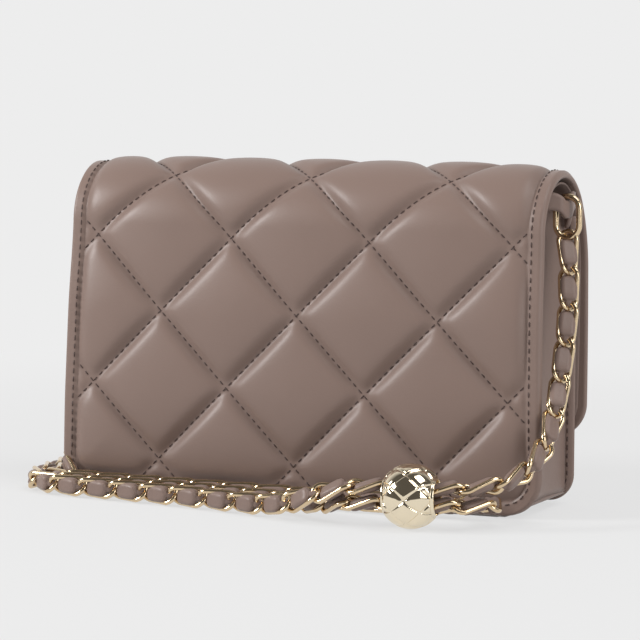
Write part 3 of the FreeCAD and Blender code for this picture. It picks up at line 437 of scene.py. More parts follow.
def stitch_line(points, faces, route, surface):
    """Stitches an even pitch apart along a flat route; surface gives (point, outward) for a spot of it."""
    lengths = [0.0]
    for before, after in zip(route, route[1:]):
        lengths.append(lengths[-1] + math.dist(before, after))
    count = max(int(lengths[-1] / STITCH_PITCH), 1)
    segment = 0
    for number in range(count):
        distance = (number + 0.5) * lengths[-1] / count
        while lengths[segment + 1] < distance:
            segment += 1
        start, end = route[segment], route[segment + 1]
        length = lengths[segment + 1] - lengths[segment]
        share = (distance - lengths[segment]) / length
        spot = [a + (b - a) * share for a, b in zip(start, end)]
        onward = [place + (b - a) * STITCH_PROBE / length for place, a, b in zip(spot, start, end)]
        middle, out = surface(*spot)
        ahead = surface(*onward)[0]
        add_stitch(points, faces, middle, (ahead - middle).normalized(), out)


def rounded_route(half, low, high, corner, inset):
    """Flat route up one side of a panel, and round its lower corners, at a distance from the edge."""
    route = [(half - inset, high)]
    turn = corner - inset
    for step in range(CORNER_STEPS + 1):
        angle = -math.pi / 2 * step / CORNER_STEPS
        route.append((half - corner + turn * math.cos(angle), low + corner + turn * math.sin(angle)))
    return route + [(-across, up) for across, up in reversed(route)]


stitch_points, stitch_faces = [], []
front_route = rounded_route(FRONT_HALF, FOOT, FRONT_TOP - FRONT_STITCH_INSET, FRONT_CORNER,
                            FRONT_STITCH_INSET)
for depth, facing in ((0, 1), (FRONT_THICK, -1)):
    stitch_line(stitch_points, stitch_faces, front_route,
                lambda across, up: (Vector((across, FRONT_FACE - depth, up)), Vector((0, facing, 0))))
front_stitches = make_piece("front_stitches", stitch_points, stitch_faces, thread)
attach(front_stitches, "bag_body")

# Gussets: soft V-folded leather sides that let the bag open, sewn to the back and the front,
# and cut round under the flap. A lining leather of the same shape is glued inside.

SWELL = 1.4 * mm
SWELL_FULL = 0.4
SWELL_FADE = (0.66, 0.98)
SWELL_CREST = 1 * mm
SWELL_CREST_SHARE = 0.6
GUSSET_HALF = 91 * mm
GUSSET_FOOT = 5 * mm
GUSSET_ARCH = 17.6 * mm
GUSSET_SLOPE = 40 * mm
GUSSET_SET_IN = 4 * mm
GUSSET_TUCK = 0.2 * mm
GUSSET_EDGE = 0.4 * mm
GUSSET_LINING = 1.5 * mm
GUSSET_ROWS = 48
GUSSET_COLUMNS = 36
CREASE_LOW = 0.2 * mm
CREASE_HIGH = 9 * mm
CREASE_ROUND = 0.12
gusset_front = FRONT_FACE - FRONT_THICK + GUSSET_TUCK


def wall_swell(along):
    """How far the filled bag pushes the quilted wall out: most half way up the back, none at the fold."""
    share = along / back_length
    back = SWELL * (ease(share, 0, SWELL_FULL) - ease(share, *SWELL_FADE))
    crest = back_length + SWELL_CREST_SHARE * arch_length
    return back + SWELL_CREST * (ease(along, back_length, crest) - ease(along, crest, crest + arch_length))


def on_gusset(side, row, column, inward, inset):
    """Point of a gusset's leaf: the fold deepens upwards and is a little rounded."""
    share = column / GUSSET_COLUMNS
    level = arch_y + (gusset_front - arch_y) * (2 * share - 1)
    rise = math.sqrt(max(GUSSET_ARCH ** 2 - min(abs(level - arch_y), GUSSET_ARCH) ** 2, 0))
    top = min(arch_z + rise, FRONT_TOP + (1 - share) * GUSSET_SLOPE) - inset
    up = GUSSET_FOOT + (top - GUSSET_FOOT) * row / GUSSET_ROWS
    back = -DEPTH / 2 + GUSSET_SET_IN + up * math.tan(LEAN) - wall_swell(up)
    depth = back + (gusset_front - back) * share
    lean_in = math.sqrt((2 * share - 1) ** 2 + CREASE_ROUND ** 2) - CREASE_ROUND
    fold = CREASE_LOW + (CREASE_HIGH - CREASE_LOW) * up / CREST
    across = GUSSET_HALF - fold * (1 - lean_in) - inward
    return Vector((side * across, depth, up))


def gusset_sheet(name, side, start, thick, finish):
    """One leather of a gusset, a distance inside the gusset's outer face."""
    return turned_sheet(
        name, GUSSET_ROWS, GUSSET_COLUMNS,
        lambda row, column, depth, inset: on_gusset(side, row, column, start + depth, inset),
        thick, GUSSET_EDGE, finish)


for hand, side in (("right", 1), ("left", -1)):
    dress(gusset_sheet(f"gusset_leather_{hand}", side, 0, PLAIN_THICK, plain_leather),
          "bag_body", "leather", f"gusset_{hand}")
    dress(gusset_sheet(f"gusset_lining_leather_{hand}", side, GUSSET_LINING, LINING_THICK, lining_leather),
          "bag_body", "lining", f"gusset_lining_{hand}")

# Quilted leather: one soft sheet padded with foam, from the foot of the back over the top to the flap's edge.
# Crossing lines of stitches make the diamonds, and the edge is turned in and sewn down all round.

DIAMOND = 27.7 * mm
SEAM_ACROSS = -83.2 * mm
SEAM_ALONG = 13.5 * mm
SEAM_HALF = 0.55 * mm
SEAM_DEPTH = 2.7 * mm
SEAM_STEP = 0.5 * mm
SEAM_STEPS = 200
SEAM_NUMBERS = range(-9, 19, 2)
SEAM_STOP = 0.4 * mm
BAND = 4.7 * mm
BAND_RISE = 0.9 * mm
BAND_ROUND = 0.7 * mm
BAND_STITCH = 3.9 * mm
PUFF = 3.3 * mm
PUFF_SLOPE = 0.95
PUFF_CREST = 3.3 * mm
PUFF_DOME = 1.1 * mm
PUFF_ROLL = 1.5 * mm
PUFF_REACH = DIAMOND / math.sqrt(2)
QUILT_THICK = 4.6 * mm
GRID_STEP = DIAMOND / 32
GRID_LEAST = 0.3
OUTER_START = 60 * mm
BAND_START = 88 * mm
END_ROWS = (0.12 * mm, 0.4 * mm)
SIDE_STEPS = 60


def wall_half(along):
    """Half width of the quilted sheet before its corners are rounded."""
    if along < back_length:
        return HALF_LOW + (HALF_TOP - HALF_LOW) * along / back_length
    return HALF_TOP + (HALF_FLAP - HALF_TOP) * (along - back_length) / (wall_length - back_length)


def edge_distance(across, along):
    """Distance to the nearest edge of the quilted sheet."""
    half = wall_half(along)
    across = abs(across)
    nearest = min(half - across, along - FOOT, wall_length - along)
    for corner, up in ((BACK_CORNER, along - FOOT), (FLAP_CORNER, wall_length - along)):
        if up < corner and across > half - corner:
            nearest = corner - math.hypot(across - half + corner, corner - up)
    return nearest


def dome(distance, width):
    """Rounded rise from 0 at a seam to 1 a width away from it."""
    share = min(max(distance / width, 0), 1)
    return math.sqrt(1 - (1 - share) ** 2)


def puff_share(distance):
    """Height of a puff at a distance from a seam: a steep side that rolls over into a low dome."""
    distance = min(max(distance - SEAM_HALF, 0), PUFF_REACH)
    side = PUFF_SLOPE * distance
    top = PUFF_CREST - PUFF_DOME * (1 - distance / PUFF_REACH) ** 2
    first = PUFF_CREST - PUFF_DOME
    level = (side + top - math.hypot(side - top, PUFF_ROLL)) / 2
    lowest = (first - math.hypot(first, PUFF_ROLL)) / 2
    return (level - lowest) / PUFF_CREST


def seam_distances(across, along):
    """Distances to the nearest seam of each of the two crossing families."""
    right = ((across - SEAM_ACROSS + along - SEAM_ALONG) / DIAMOND - 1) / 2
    left = ((across - SEAM_ACROSS - along + SEAM_ALONG) / DIAMOND - 1) / 2
    return [abs(value - round(value)) * DIAMOND * math.sqrt(2) for value in (right, left)]


def quilt_rise(across, along):
    """Height of the quilted face over the wall's line."""
    edge = edge_distance(across, along)
    if edge < BAND:
        return BAND_RISE * dome(min(edge, BAND - edge), BAND_ROUND) - SEAM_DEPTH
    puff = puff_share(edge - BAND)
    for distance in seam_distances(across, along):
        puff *= puff_share(distance)
    return PUFF * puff - SEAM_DEPTH


def grid_between(first, low, high):
    """Lines a grid step apart, in line with the crossings of the seams, between two ends."""
    start = math.ceil((low - first) / GRID_STEP + GRID_LEAST)
    stop = math.floor((high - first) / GRID_STEP - GRID_LEAST)
    return [low] + [first + number * GRID_STEP for number in range(start, stop + 1)] + [high]


quilt_rows = grid_between(SEAM_ALONG, FOOT, wall_length)
quilt_rows += [FOOT + away for away in END_ROWS] + [wall_length - away for away in END_ROWS]
quilt_rows.sort()
quilt_columns = grid_between(SEAM_ACROSS, -HALF_LOW, HALF_LOW)


def quilt_spot(row, column, grow):
    """Place across and along of one point of the quilted sheet's grid."""
    along = quilt_rows[row]
    across = quilt_columns[column]
    side = wall_half(along)
    half = min(corner_half(side, BACK_CORNER, along - FOOT),
               corner_half(side, FLAP_CORNER, wall_length - along))
    outward = abs(across)
    shift = (side - HALF_LOW) * ease(outward, BAND_START, HALF_LOW)
    shift += (half - side) * ease(outward, OUTER_START, HALF_LOW)
    if column in (0, len(quilt_columns) - 1):
        shift += grow
    if row in (0, len(quilt_rows) - 1):
        along += grow if row else -grow
    return math.copysign(outward + shift, across), along


def quilt_face(row, column):
    """Point of the quilted face."""
    across, along = quilt_spot(row, column, 0)
    return on_wall(across, along, quilt_rise(across, along) + wall_swell(along))


def quilt_back(row, column):
    """Point of the sheet's flat back."""
    across, along = quilt_spot(row, column, 0)
    return on_wall(across, along, wall_swell(along) - QUILT_THICK)


def quilt_rim(row, column):
    """Point of the turned edge."""
    across, along = quilt_spot(row, column, EDGE_ROUND)
    return on_wall(across, along, wall_swell(along) - (QUILT_THICK + SEAM_DEPTH) / 2)


quilted_leather = leather_finish("quilted_taupe_leather", TAUPE, 0.4, 0.03 * mm)
quilt = sheet_piece("quilted_leather", len(quilt_rows) - 1, len(quilt_columns) - 1, quilt_face, quilt_back,
                    quilt_rim, quilted_leather)


def on_quilt(across, along):
    """Point of the quilted face and its outward direction, for a stitch."""
    normal = wall_place(along)[1]
    return on_wall(across, along, quilt_rise(across, along) + wall_swell(along)), Vector((0, *normal))


stitch_points, stitch_faces = [], []
for family in (1, -1):
    for number in SEAM_NUMBERS:
        route = []
        for step in range(-SEAM_STEPS, SEAM_STEPS + 1):
            across = step * SEAM_STEP
            along = SEAM_ALONG + family * (number * DIAMOND - across + SEAM_ACROSS)
            if FOOT < along < wall_length and edge_distance(across, along) > BAND + SEAM_STOP:
                route.append((across, along))
        if len(route) > 2:
            stitch_line(stitch_points, stitch_faces, route, on_quilt)
edge_route = rounded_route(HALF_LOW, FOOT, FOOT + BACK_CORNER, BACK_CORNER, BAND_STITCH)
side_top = wall_length - FLAP_CORNER
side_route = []
for step in range(SIDE_STEPS + 1):
    along = FOOT + BACK_CORNER + (side_top - FOOT - BACK_CORNER) * step / SIDE_STEPS
    side_route.append((wall_half(along) - BAND_STITCH, along))
flap_route = [(across, wall_length - up) for across, up in
              rounded_route(HALF_FLAP, 0, FLAP_CORNER, FLAP_CORNER, BAND_STITCH)]
for route in (edge_route, side_route, [(-across, along) for across, along in side_route], flap_route):
    stitch_line(stitch_points, stitch_faces, route, on_quilt)
quilt_stitches = make_piece("quilt_stitches", stitch_points, stitch_faces, thread)

for piece in (quilt, quilt_stitches, back_lining):
    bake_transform(piece)
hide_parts("back_panel", "flap_quilt")
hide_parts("back_lining")

# Flap lining: smooth lining leather under the whole flap, turned in at the edge,
# with the stud of the snap set into it.

FLAP_LINING_DEPTH = 5 * mm
FLAP_LINING_INSET = 0.6 * mm
FLAP_LINING_EDGE = 0.3 * mm
FLAP_LINING_ROWS = 90
FLAP_LINING_COLUMNS = 60
lining_rows = [back_length + (side_top - back_length) * step / FLAP_LINING_ROWS
               for step in range(FLAP_LINING_ROWS + 1)]
lining_rows += [wall_length + FOOT - along for along in reversed(corner_rows(FOOT, FLAP_CORNER))]


def on_flap_lining(row, column, depth, inset):
    """Point of the flap's lining."""
    along = lining_rows[row]
    half = corner_half(HALF_TOP, FLAP_CORNER, wall_length - along) - FLAP_LINING_INSET - inset
    along = min(along, wall_length - FLAP_LINING_INSET - inset)
    return on_wall(half * (2 * column / FLAP_LINING_COLUMNS - 1), along, -FLAP_LINING_DEPTH - depth)


flap_lining = turned_sheet("flap_lining_leather", len(lining_rows) - 1, FLAP_LINING_COLUMNS, on_flap_lining,
                           LINING_THICK, FLAP_LINING_EDGE, lining_leather)
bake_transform(flap_lining)
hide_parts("flap_lining")

# Snap: a pressed socket on the front panel and a stud on the flap, pale gold plated,
# each held by a hidden plate behind the leather.

PALE_GOLD = (0.74, 0.575, 0.37)


def gold_finish(name, colour, roughness, scratch):
    """Polished pale gold plating with a trace of handling."""
    finish, tree, shader = new_finish(name)
    tint(tree, cloud(tree, 300, 3), *shades(colour, 0.04), shader.inputs["Base Color"])
    set_inputs(shader, Metallic=1)
    spread(tree, cloud(tree, 900, 4), roughness - 0.03, roughness + 0.06, shader.inputs["Roughness"])
    tree.links.new(relief(tree, cloud(tree, 2600, 3), scratch), shader.inputs["Normal"])
    return finish


snap_gold = gold_finish("brushed_pale_gold", PALE_GOLD, 0.3, 0.02 * mm)
for node in ("snap_socket", "snap_stud", "snap_socket_washer", "snap_stud_washer"):
    paint(node, snap_gold)

# Ring strips: a narrow doubled leather strip across each gusset, sewn to both leaves.
# The ring hangs on its bow in the middle.

STRIP_LOW = 106 * mm
STRIP_HEIGHT = 6.5 * mm
STRIP_THICK = 1.7 * mm
STRIP_EDGE = 0.4 * mm
STRIP_ROWS = 6
STRIP_STEPS = 40
STRIP_PROBE = 0.01
# Across and depth of the strip's line, in millimetres, from the back leaf over the bow to the front leaf.
STRIP_KNOTS = ((88.6, -13), (88.2, -9), (90, -6), (95, -3.4), (96, 0), (96.2, 3.6), (95.2, 8.4), (90.8, 13.8))
STRIP_SAG = 3 * mm
FRONT_SAG = 7.5 * mm
# Depths between which the sag eases: out from the ring, towards the back leaf and towards the front leaf.
RING_EASE = (1.4 * mm, 5 * mm)
BACK_EASE = (9 * mm, 14 * mm)
FRONT_EASE = (8 * mm, 13.8 * mm)


def strip_line(share):
    """Across and depth of the strip's middle at a share of its line."""
    place = share * (len(STRIP_KNOTS) - 1)
    index = min(int(place), len(STRIP_KNOTS) - 2)
    part = place - index
    part = (part + ease(part, 0, 1)) / 2
    return [mm * (a + (b - a) * part) for a, b in zip(STRIP_KNOTS[index], STRIP_KNOTS[index + 1])]


def on_strip(side, row, column, out, inset):
    """Point of a strip: it sags under the ring and at both ends."""
    share = column / STRIP_STEPS
    across, depth = strip_line(share)
    ahead = strip_line(min(share + STRIP_PROBE, 1))
    before = strip_line(max(share - STRIP_PROBE, 0))
    along = Vector((ahead[0] - before[0], ahead[1] - before[1])).normalized()
    sag = STRIP_SAG * (1 - ease(abs(depth), *RING_EASE) + ease(-depth, *BACK_EASE))
    sag += FRONT_SAG * ease(depth, *FRONT_EASE)
    up = STRIP_LOW + STRIP_SAG - sag + inset + (STRIP_HEIGHT - 2 * inset) * row / STRIP_ROWS
    return Vector((side * (across + along.y * out), depth - along.x * out, up))


for hand, side in (("right", 1), ("left", -1)):
    strip = turned_sheet(
        f"ring_strip_leather_{hand}", STRIP_ROWS, STRIP_STEPS,
        lambda row, column, depth, inset: on_strip(side, row, column, STRIP_THICK / 2 - depth, inset),
        STRIP_THICK, STRIP_EDGE, plain_leather)
    dress(strip, "bag_body", "leather", f"ring_strip_{hand}")

# Rings: an oval of round wire hangs on each strip and takes the end of the chain.
# Bent and brazed, then plated pale gold like the chain.

RING_ACROSS = 96 * mm
RING_WIDTH = 11 * mm
RING_TOP = 115.05 * mm
RING_HEIGHT = 17 * mm
RING_WIRE = 2.2 * mm
RING_STEPS = 24
RING_SIDES = 14
chain_gold = gold_finish("polished_pale_gold", PALE_GOLD, 0.16, 0.01 * mm)


def wire_loop(points, faces, path, radius, sides, centre):
    """Closed round wire through a loop of points, its sides turned alike about a centre."""
    first = len(points)
    for index, point in enumerate(path):
        along = (path[(index + 1) % len(path)] - path[index - 1]).normalized()
        out = point - centre
        out = (out - along * out.dot(along)).normalized()
        beside = along.cross(out)
        for side in range(sides):
            angle = 2 * math.pi * side / sides
            points.append(point + (out * math.cos(angle) + beside * math.sin(angle)) * radius)
    add_bands(faces, [*range(first, len(points), sides), first], sides)


for hand, side in (("right", 1), ("left", -1)):
    half = (RING_WIDTH - RING_WIRE) / 2
    high = RING_TOP - RING_WIRE / 2 - half
    low = RING_TOP - RING_HEIGHT + RING_WIRE / 2 + half
    ring_path = []
    for start, level in ((0, high), (math.pi, low)):
        for step in range(RING_STEPS + 1):
            angle = start + math.pi * step / RING_STEPS
            across = side * RING_ACROSS + half * math.cos(angle)
            ring_path.append(Vector((across, 0, level + half * math.sin(angle))))
    ring_points, ring_faces = [], []
    wire_loop(ring_points, ring_faces, ring_path, RING_WIRE / 2, RING_SIDES,
              Vector((side * RING_ACROSS, 0, (high + low) / 2)))
    ring = make_piece(f"ring_wire_{hand}", ring_points, ring_faces, chain_gold)
    dress(ring, f"ring_{hand}_body", "gold_metal", f"ring_{hand}")

# Chain: flat curb links of round wire, each end turned against the other, plated pale gold.
# The strap goes from the right ring through the ball, round the left corner, back through the ball,
# and behind itself to the left ring.

BALL_MIDDLE = (62, -63.5, 11.7)
BALL_PLACE = Vector([part * mm for part in BALL_MIDDLE])
BALL_TURN = math.radians(8)
PASS = 2.95 * mm
HANG = (0.7, 0.7, 0)
FACING = (0.9, 0.43, 0)
UP = (0, 0, 1)
DOWN = (0, 0, -1)
FLAT = (-math.sin(BALL_TURN), math.cos(BALL_TURN), 0)


def by_ball(distance, level):
    """Point on the straight run through the ball, in millimetres."""
    across = BALL_MIDDLE[0] + distance * math.cos(BALL_TURN)
    depth = BALL_MIDDLE[1] + distance * math.sin(BALL_TURN)
    return (across, depth, level)


# Points that the strap's line follows, in millimetres, each with the direction of the chain's upper edge.
hook = 100.25
run = 4.2
upper_pass = (BALL_PLACE.z + PASS) / mm
lower_pass = (BALL_PLACE.z - PASS) / mm
ROUTE = [
    ((96, 0, hook), HANG),
    ((98, -3.2, 88.5), FACING),
    ((99.7, -8.2, 74.5), FACING),
    ((100.3, -13.8, 60), FACING),
    ((100.4, -19.5, 46.5), FACING),
    ((100.6, -27, 33.5), (0.6, 0.65, -0.45)),
    ((99.8, -36.5, 23.5), (0.25, 0.5, -0.8)),
    ((95.5, -46.5, 17.6), (-0.3, 0.5, -0.8)),
    ((89.3, -55.8, 15.3), (-0.3, 0.8, -0.5)),
    (by_ball(17.7, upper_pass), FLAT),
    (by_ball(0, upper_pass + 0.1), FLAT),
    (by_ball(-22.7, upper_pass), FLAT),
    ((26, -67.5, 10.4), (0, 0.5, 0.87)),
    ((13, -64, 5), (0, 0.15, 1)),
    ((-1, -58.5, run), UP),
    ((-26, -53, run), UP),
    ((-54, -49.2, run), UP),
    ((-76, -47.4, run), UP),
    ((-91, -45.2, run), UP),
    ((-102.8, -39, run), UP),
    ((-106.4, -24.5, run), UP),
    ((-107.6, -2, run), UP),
    ((-113.5, 19, run), UP),
    ((-120, 38, run), UP),
    ((-119.5, 57, run), UP),
    ((-107.5, 71, run), UP),
    ((-89.5, 71.5, run), UP),
    ((-78, 59, run), UP),
    ((-79.5, 42, run), UP),
    ((-93, 29, run), UP),
    ((-100.4, 11.5, run), UP),
    ((-101.2, -8, run), UP),
    ((-100.2, -31.8, run), UP),
    ((-87, -38.6, run), UP),
    ((-70, -40.6, run), UP),
    ((-40, -41.5, run), UP),
    ((-10, -44.5, run), UP),
    ((10, -49.5, run), UP),
    ((25, -57, 6), (0, 0.4, 0.92)),
    (by_ball(-22.7, lower_pass), FLAT),
    (by_ball(0, lower_pass - 0.1), FLAT),
    (by_ball(17.4, lower_pass), FLAT),
    ((87.7, -52, 8.2), (-0.97, 0.26, 0)),
    ((86.1, -40.7, 7), (-0.87, -0.5, -0.1)),
    ((75.4, -33.9, 5.6), (-0.26, -0.9, -0.4)),
    ((58, -36.2, 4.6), (0, -0.5, -0.9)),
    ((28, -36, run), DOWN),
    ((-5, -35, run), DOWN),
    ((-42, -34.2, run), DOWN),
    ((-69, -33.2, run), DOWN),
    ((-86, -32.4, run), DOWN),
    ((-94.6, -29.6, 4.4), (-0.1, 0.1, -1)),
    ((-95.6, -19.8, 11.8), (-0.2, 0.3, -0.9)),
    ((-96.2, -11.2, 24.4), (-0.5, 0.7, -0.5)),
    ((-96.6, -6.6, 40), (-0.2, 0.98, 0)),
    ((-97.2, -4.6, 57), (0.2, 0.98, 0)),
    ((-96.9, -3.4, 73), (0.5, 0.87, 0)),
    ((-96.6, -2.2, 88), HANG),
    ((-96, 0, hook), HANG),
]
SPLINE_STEPS = 24
HALVINGS = 40
END_GAP = 0.001 * mm
SHORTEST_SHARE = 0.9
LINK_COUNT = 78
LINK_PLAY = 0.7 * mm
LINK_WIDTH = 7.6 * mm
LINK_WIRE = 1.75 * mm
LINK_TWIST = math.radians(44)
LINK_SIDES = 10
LINK_BEND_STEPS = 9
LINK_STRAND_STEPS = 4
# Names of the chain's stretches, with the share of all links where each ends.
STRETCHES = (("drop_right", 0.1), ("front_run", 0.36), ("loop", 0.6), ("back_run", 0.86), ("drop_left", 1.0))


def spline_points(route):
    """Points along the smooth line that the route's points draw, with each point's share of the route."""
    curve = bpy.data.curves.new("strap_line", "CURVE")
    curve.dimensions = "3D"
    curve.resolution_u = SPLINE_STEPS
    spline = curve.splines.new("NURBS")
    spline.points.add(len(route) - 1)
    for spot, stop in zip(spline.points, route):
        spot.co = (*(part * mm for part in stop[0]), 1)
    spline.order_u = 3
    spline.use_endpoint_u = True
    holder = bpy.data.objects.new("strap_line", curve)
    mesh = bpy.data.meshes.new_from_object(holder)
    points = [vertex.co.copy() for vertex in mesh.vertices]
    bpy.data.objects.remove(holder)
    bpy.data.curves.remove(curve)
    bpy.data.meshes.remove(mesh)
    last = len(route) - 1
    shares = [0]
    for index in range(1, len(points)):
        shares.append(min(index / (len(points) - 1) * (last - 1) + 0.5, last))
    return points, shares


def joints_along(points, shares, chord, count):
    """Joint points one chord apart along the line, and the length left over at its end."""
    joints = [(points[0], 0.0)]
    segment = 0
    for number in range(count):
        here = joints[-1][0]
        while segment < len(points) - 2 and (points[segment + 1] - here).length < chord:
            segment += 1
        start, end = points[segment], points[segment + 1]
        near, far = 0.0, 1.0
        for halving in range(HALVINGS):
            part = (near + far) / 2
            if (start.lerp(end, part) - here).length < chord:
                near = part
            else:
                far = part
        share = shares[segment] + (shares[segment + 1] - shares[segment]) * near
        joints.append((start.lerp(end, near), share))
    return joints, (points[-1] - joints[-1][0]).length


strap_points, strap_shares = spline_points(ROUTE)
strap_length = sum((after - before).length for before, after in zip(strap_points, strap_points[1:]))
longest = strap_length / LINK_COUNT
shortest = SHORTEST_SHARE * longest
for halving in range(HALVINGS):
    pitch = (shortest + longest) / 2
    joints, left = joints_along(strap_points, strap_shares, pitch, LINK_COUNT)
    if left > END_GAP and joints[-1][1] < len(ROUTE) - 1:
        shortest = pitch
    else:
        longest = pitch


def edge_direction(share):
    """Direction that the chain's upper edge takes at a share of the route."""
    index = min(int(share), len(ROUTE) - 2)
    return Vector(ROUTE[index][1]).lerp(Vector(ROUTE[index + 1][1]), share - index)


def link_frame(point, along, edge):
    """Frame with X along the strap and Y along the chain's width."""
    edge = (edge - along * edge.dot(along)).normalized()
    across = along.cross(edge)
    return Matrix.Translation(point) @ Matrix((along, edge, across)).transposed().to_4x4()


def link_line():
    """Middle of one link's wire: two bent ends, turned against each other, joined by straight strands.

    The tilt of the strands is found by halving, so that they run straight on from the bends.
    """
    half = (pitch + LINK_WIRE + LINK_PLAY) / 2
    spread_out = (LINK_WIDTH - LINK_WIRE) / 2 / math.cos(LINK_TWIST)
    near, far = 0.0, math.pi / 2
    for halving in range(HALVINGS):
        tilt = (near + far) / 2
        drop = spread_out * (math.sin(LINK_TWIST) - math.sin(tilt))
        if math.tan(tilt) * (half - spread_out * math.cos(tilt)) > drop:
            far = tilt
        else:
            near = tilt
    tip = Vector((half, 0, 0))
    shoulder = Vector((half - spread_out * math.cos(tilt), spread_out * math.cos(LINK_TWIST), -drop))
    reach = shoulder - tip
    along = Vector((0, math.cos(LINK_TWIST), -math.sin(LINK_TWIST)))
    inward = reach - along * reach.dot(along)
    bend = reach.length ** 2 / (2 * inward.length)
    inward.normalize()
    sweep = 2 * math.atan2(reach.dot(inward), reach.dot(along))
    right = []
    for step in range(1, LINK_BEND_STEPS + 1):
        angle = sweep * step / LINK_BEND_STEPS
        right.append(tip + inward * (bend * (1 - math.cos(angle))) + along * (bend * math.sin(angle)))
    left = [Vector((-point.x, point.y, -point.z)) for point in reversed(right)]
    strand = [right[-1].lerp(left[0], step / LINK_STRAND_STEPS) for step in range(1, LINK_STRAND_STEPS)]
    upper = right + strand + left
    lower = [Vector((point.x, -point.y, -point.z)) for point in reversed(upper)]
    return [tip] + upper + [-tip] + lower


frames = []
for (start, start_share), (end, end_share) in zip(joints, joints[1:]):
    frames.append(link_frame((start + end) / 2, (end - start).normalized(),
                             edge_direction((start_share + end_share) / 2)))
link_middle = link_line()
first = 0
for name, share in STRETCHES:
    last = round(share * LINK_COUNT)
    link_points, link_faces = [], []
    for place in frames[first:last]:
        wire_path = [place @ point for point in link_middle]
        wire_loop(link_points, link_faces, wire_path, LINK_WIRE / 2, LINK_SIDES, place.translation)
    stretch = make_piece(f"links_{name}", link_points, link_faces, chain_gold)
    dress(stretch, "bag_body", "gold_metal", f"chain_{name}")
    first = last

# Lace: a soft strip of the bag's leather, folded and threaded through every link.
# It swells in the middle of a link and is pinched where two links meet.

LACE_WIDTH = 6.2 * mm
LACE_THICK = 4.6 * mm
LACE_PINCH = 2.2 * mm
LACE_PINCH_THICK = 1.6 * mm
LACE_SLANT = 1.2 * mm
LACE_GROOVE = 0.22
LACE_GROOVE_WIDTH = 0.18
LACE_FLATNESS = (0.7, 0.6)
LACE_END_POWER = 6
LACE_SIDES = 20
LACE_REACH = 0.36
LACE_STATIONS = (-0.43, -0.37, -0.355, -0.33, -0.28, -0.18, -0.06, 0.06, 0.18, 0.28, 0.33, 0.355, 0.37, 0.43)


def flattened(value, power):
    """Value from -1 to 1, drawn out towards its ends."""
    return math.copysign(abs(value) ** power, value)


def lace_section(place, distance, swell, lift):
    """Ring of points round the lace: a soft pillow with a fold along the middle of its faces."""
    width = LACE_PINCH + (LACE_WIDTH - LACE_PINCH) * swell
    thick = LACE_PINCH_THICK + (LACE_THICK - LACE_PINCH_THICK) * swell
    ring = []
    for side in range(LACE_SIDES):
        angle = 2 * math.pi * side / LACE_SIDES
        across = flattened(math.cos(angle), LACE_FLATNESS[0])
        out = flattened(math.sin(angle), LACE_FLATNESS[1])
        out *= 1 - LACE_GROOVE * swell * math.exp(-(across / LACE_GROOVE_WIDTH) ** 2)
        ring.append(place @ Vector((distance, across * width / 2, lift + out * thick / 2)))
    return ring


lace_points, lace_path = [], []
for number, place in enumerate(frames):
    for station in LACE_STATIONS:
        swell = math.sqrt(max(1 - (station / LACE_REACH) ** LACE_END_POWER, 0))
        lift = LACE_SLANT * math.sin(math.pi * station)
        lace_points += lace_section(place, station * pitch, swell, lift)
        lace_path.append(place @ Vector((station * pitch, 0, lift)))
    if number + 1 < len(frames):
        joint, share = joints[number + 1]
        onward = (frames[number + 1].translation - place.translation).normalized()
        lace_points += lace_section(link_frame(joint, onward, edge_direction(share)), 0, 0, 0)
        lace_path.append(joint)
lace_faces = []
add_bands(lace_faces, range(0, len(lace_points), LACE_SIDES), LACE_SIDES)
lace_faces.append(tuple(range(LACE_SIDES)))
lace_faces.append(tuple(range(len(lace_points) - LACE_SIDES, len(lace_points))))
lace_leather = leather_finish("lace_leather", TAUPE, 0.42, 0.05 * mm)
lace = make_piece("lace", lace_points, lace_faces, lace_leather)
dress(lace, "bag_body", "lace_leather", *(f"lace_{name}" for name, share in STRETCHES))

# Ball: a hollow cast ball, engraved with crossing lines like the quilting and plated pale gold.
# Both runs of the chain go through a soft dark sleeve in it.

BALL_GOLD = (0.88, 0.77, 0.58)
BALL_RADIUS = 11.5 * mm
BALL_END = 9.6 * mm
BALL_ROWS = 96
BALL_ROUND = 144
BALL_LINES_ROUND = 2 * math.pi / 7
BALL_LINES_ALONG = math.radians(61)
BALL_LINES_START = math.radians(181)
GROOVE = 0.5 * mm
GROOVE_HALF = 0.55 * mm
PILLOW = 0.25 * mm
PILLOW_REACH = 3.5 * mm
RIM_WIDTH = 1.1 * mm
CHANNEL_WIDTH = 10.7 * mm
CHANNEL_HEIGHT = 13.6 * mm
CHANNEL_SINK = 0.4 * mm
CHANNEL_EDGE = 0.3 * mm
NEVER_ZERO = 1e-6
ball_frame = Matrix.Translation(BALL_PLACE) @ Matrix.Rotation(BALL_TURN, 4, "Z")
rim_angle = math.acos(BALL_END / BALL_RADIUS)


def ball_radius(polar, around):
    """Radius of the ball's face: grooves on the crossing lines, soft pillows between them."""
    from_rim = min(polar - rim_angle, math.pi - rim_angle - polar) * BALL_RADIUS
    nearest = abs(from_rim - RIM_WIDTH)
    if from_rim > RIM_WIDTH:
        slope = math.hypot(1 / (BALL_RADIUS * math.sin(polar) * BALL_LINES_ROUND),
                           1 / (BALL_RADIUS * BALL_LINES_ALONG))
        for sign in (1, -1):
            line = (around - BALL_LINES_START) / BALL_LINES_ROUND
            line += sign * (polar - math.pi / 2) / BALL_LINES_ALONG
            nearest = min(nearest, abs(line - round(line)) / slope)
    groove = GROOVE * max(1 - (nearest / GROOVE_HALF) ** 2, 0)
    pillow = PILLOW * (1 - dome(nearest, PILLOW_REACH))
    return BALL_RADIUS - groove - pillow


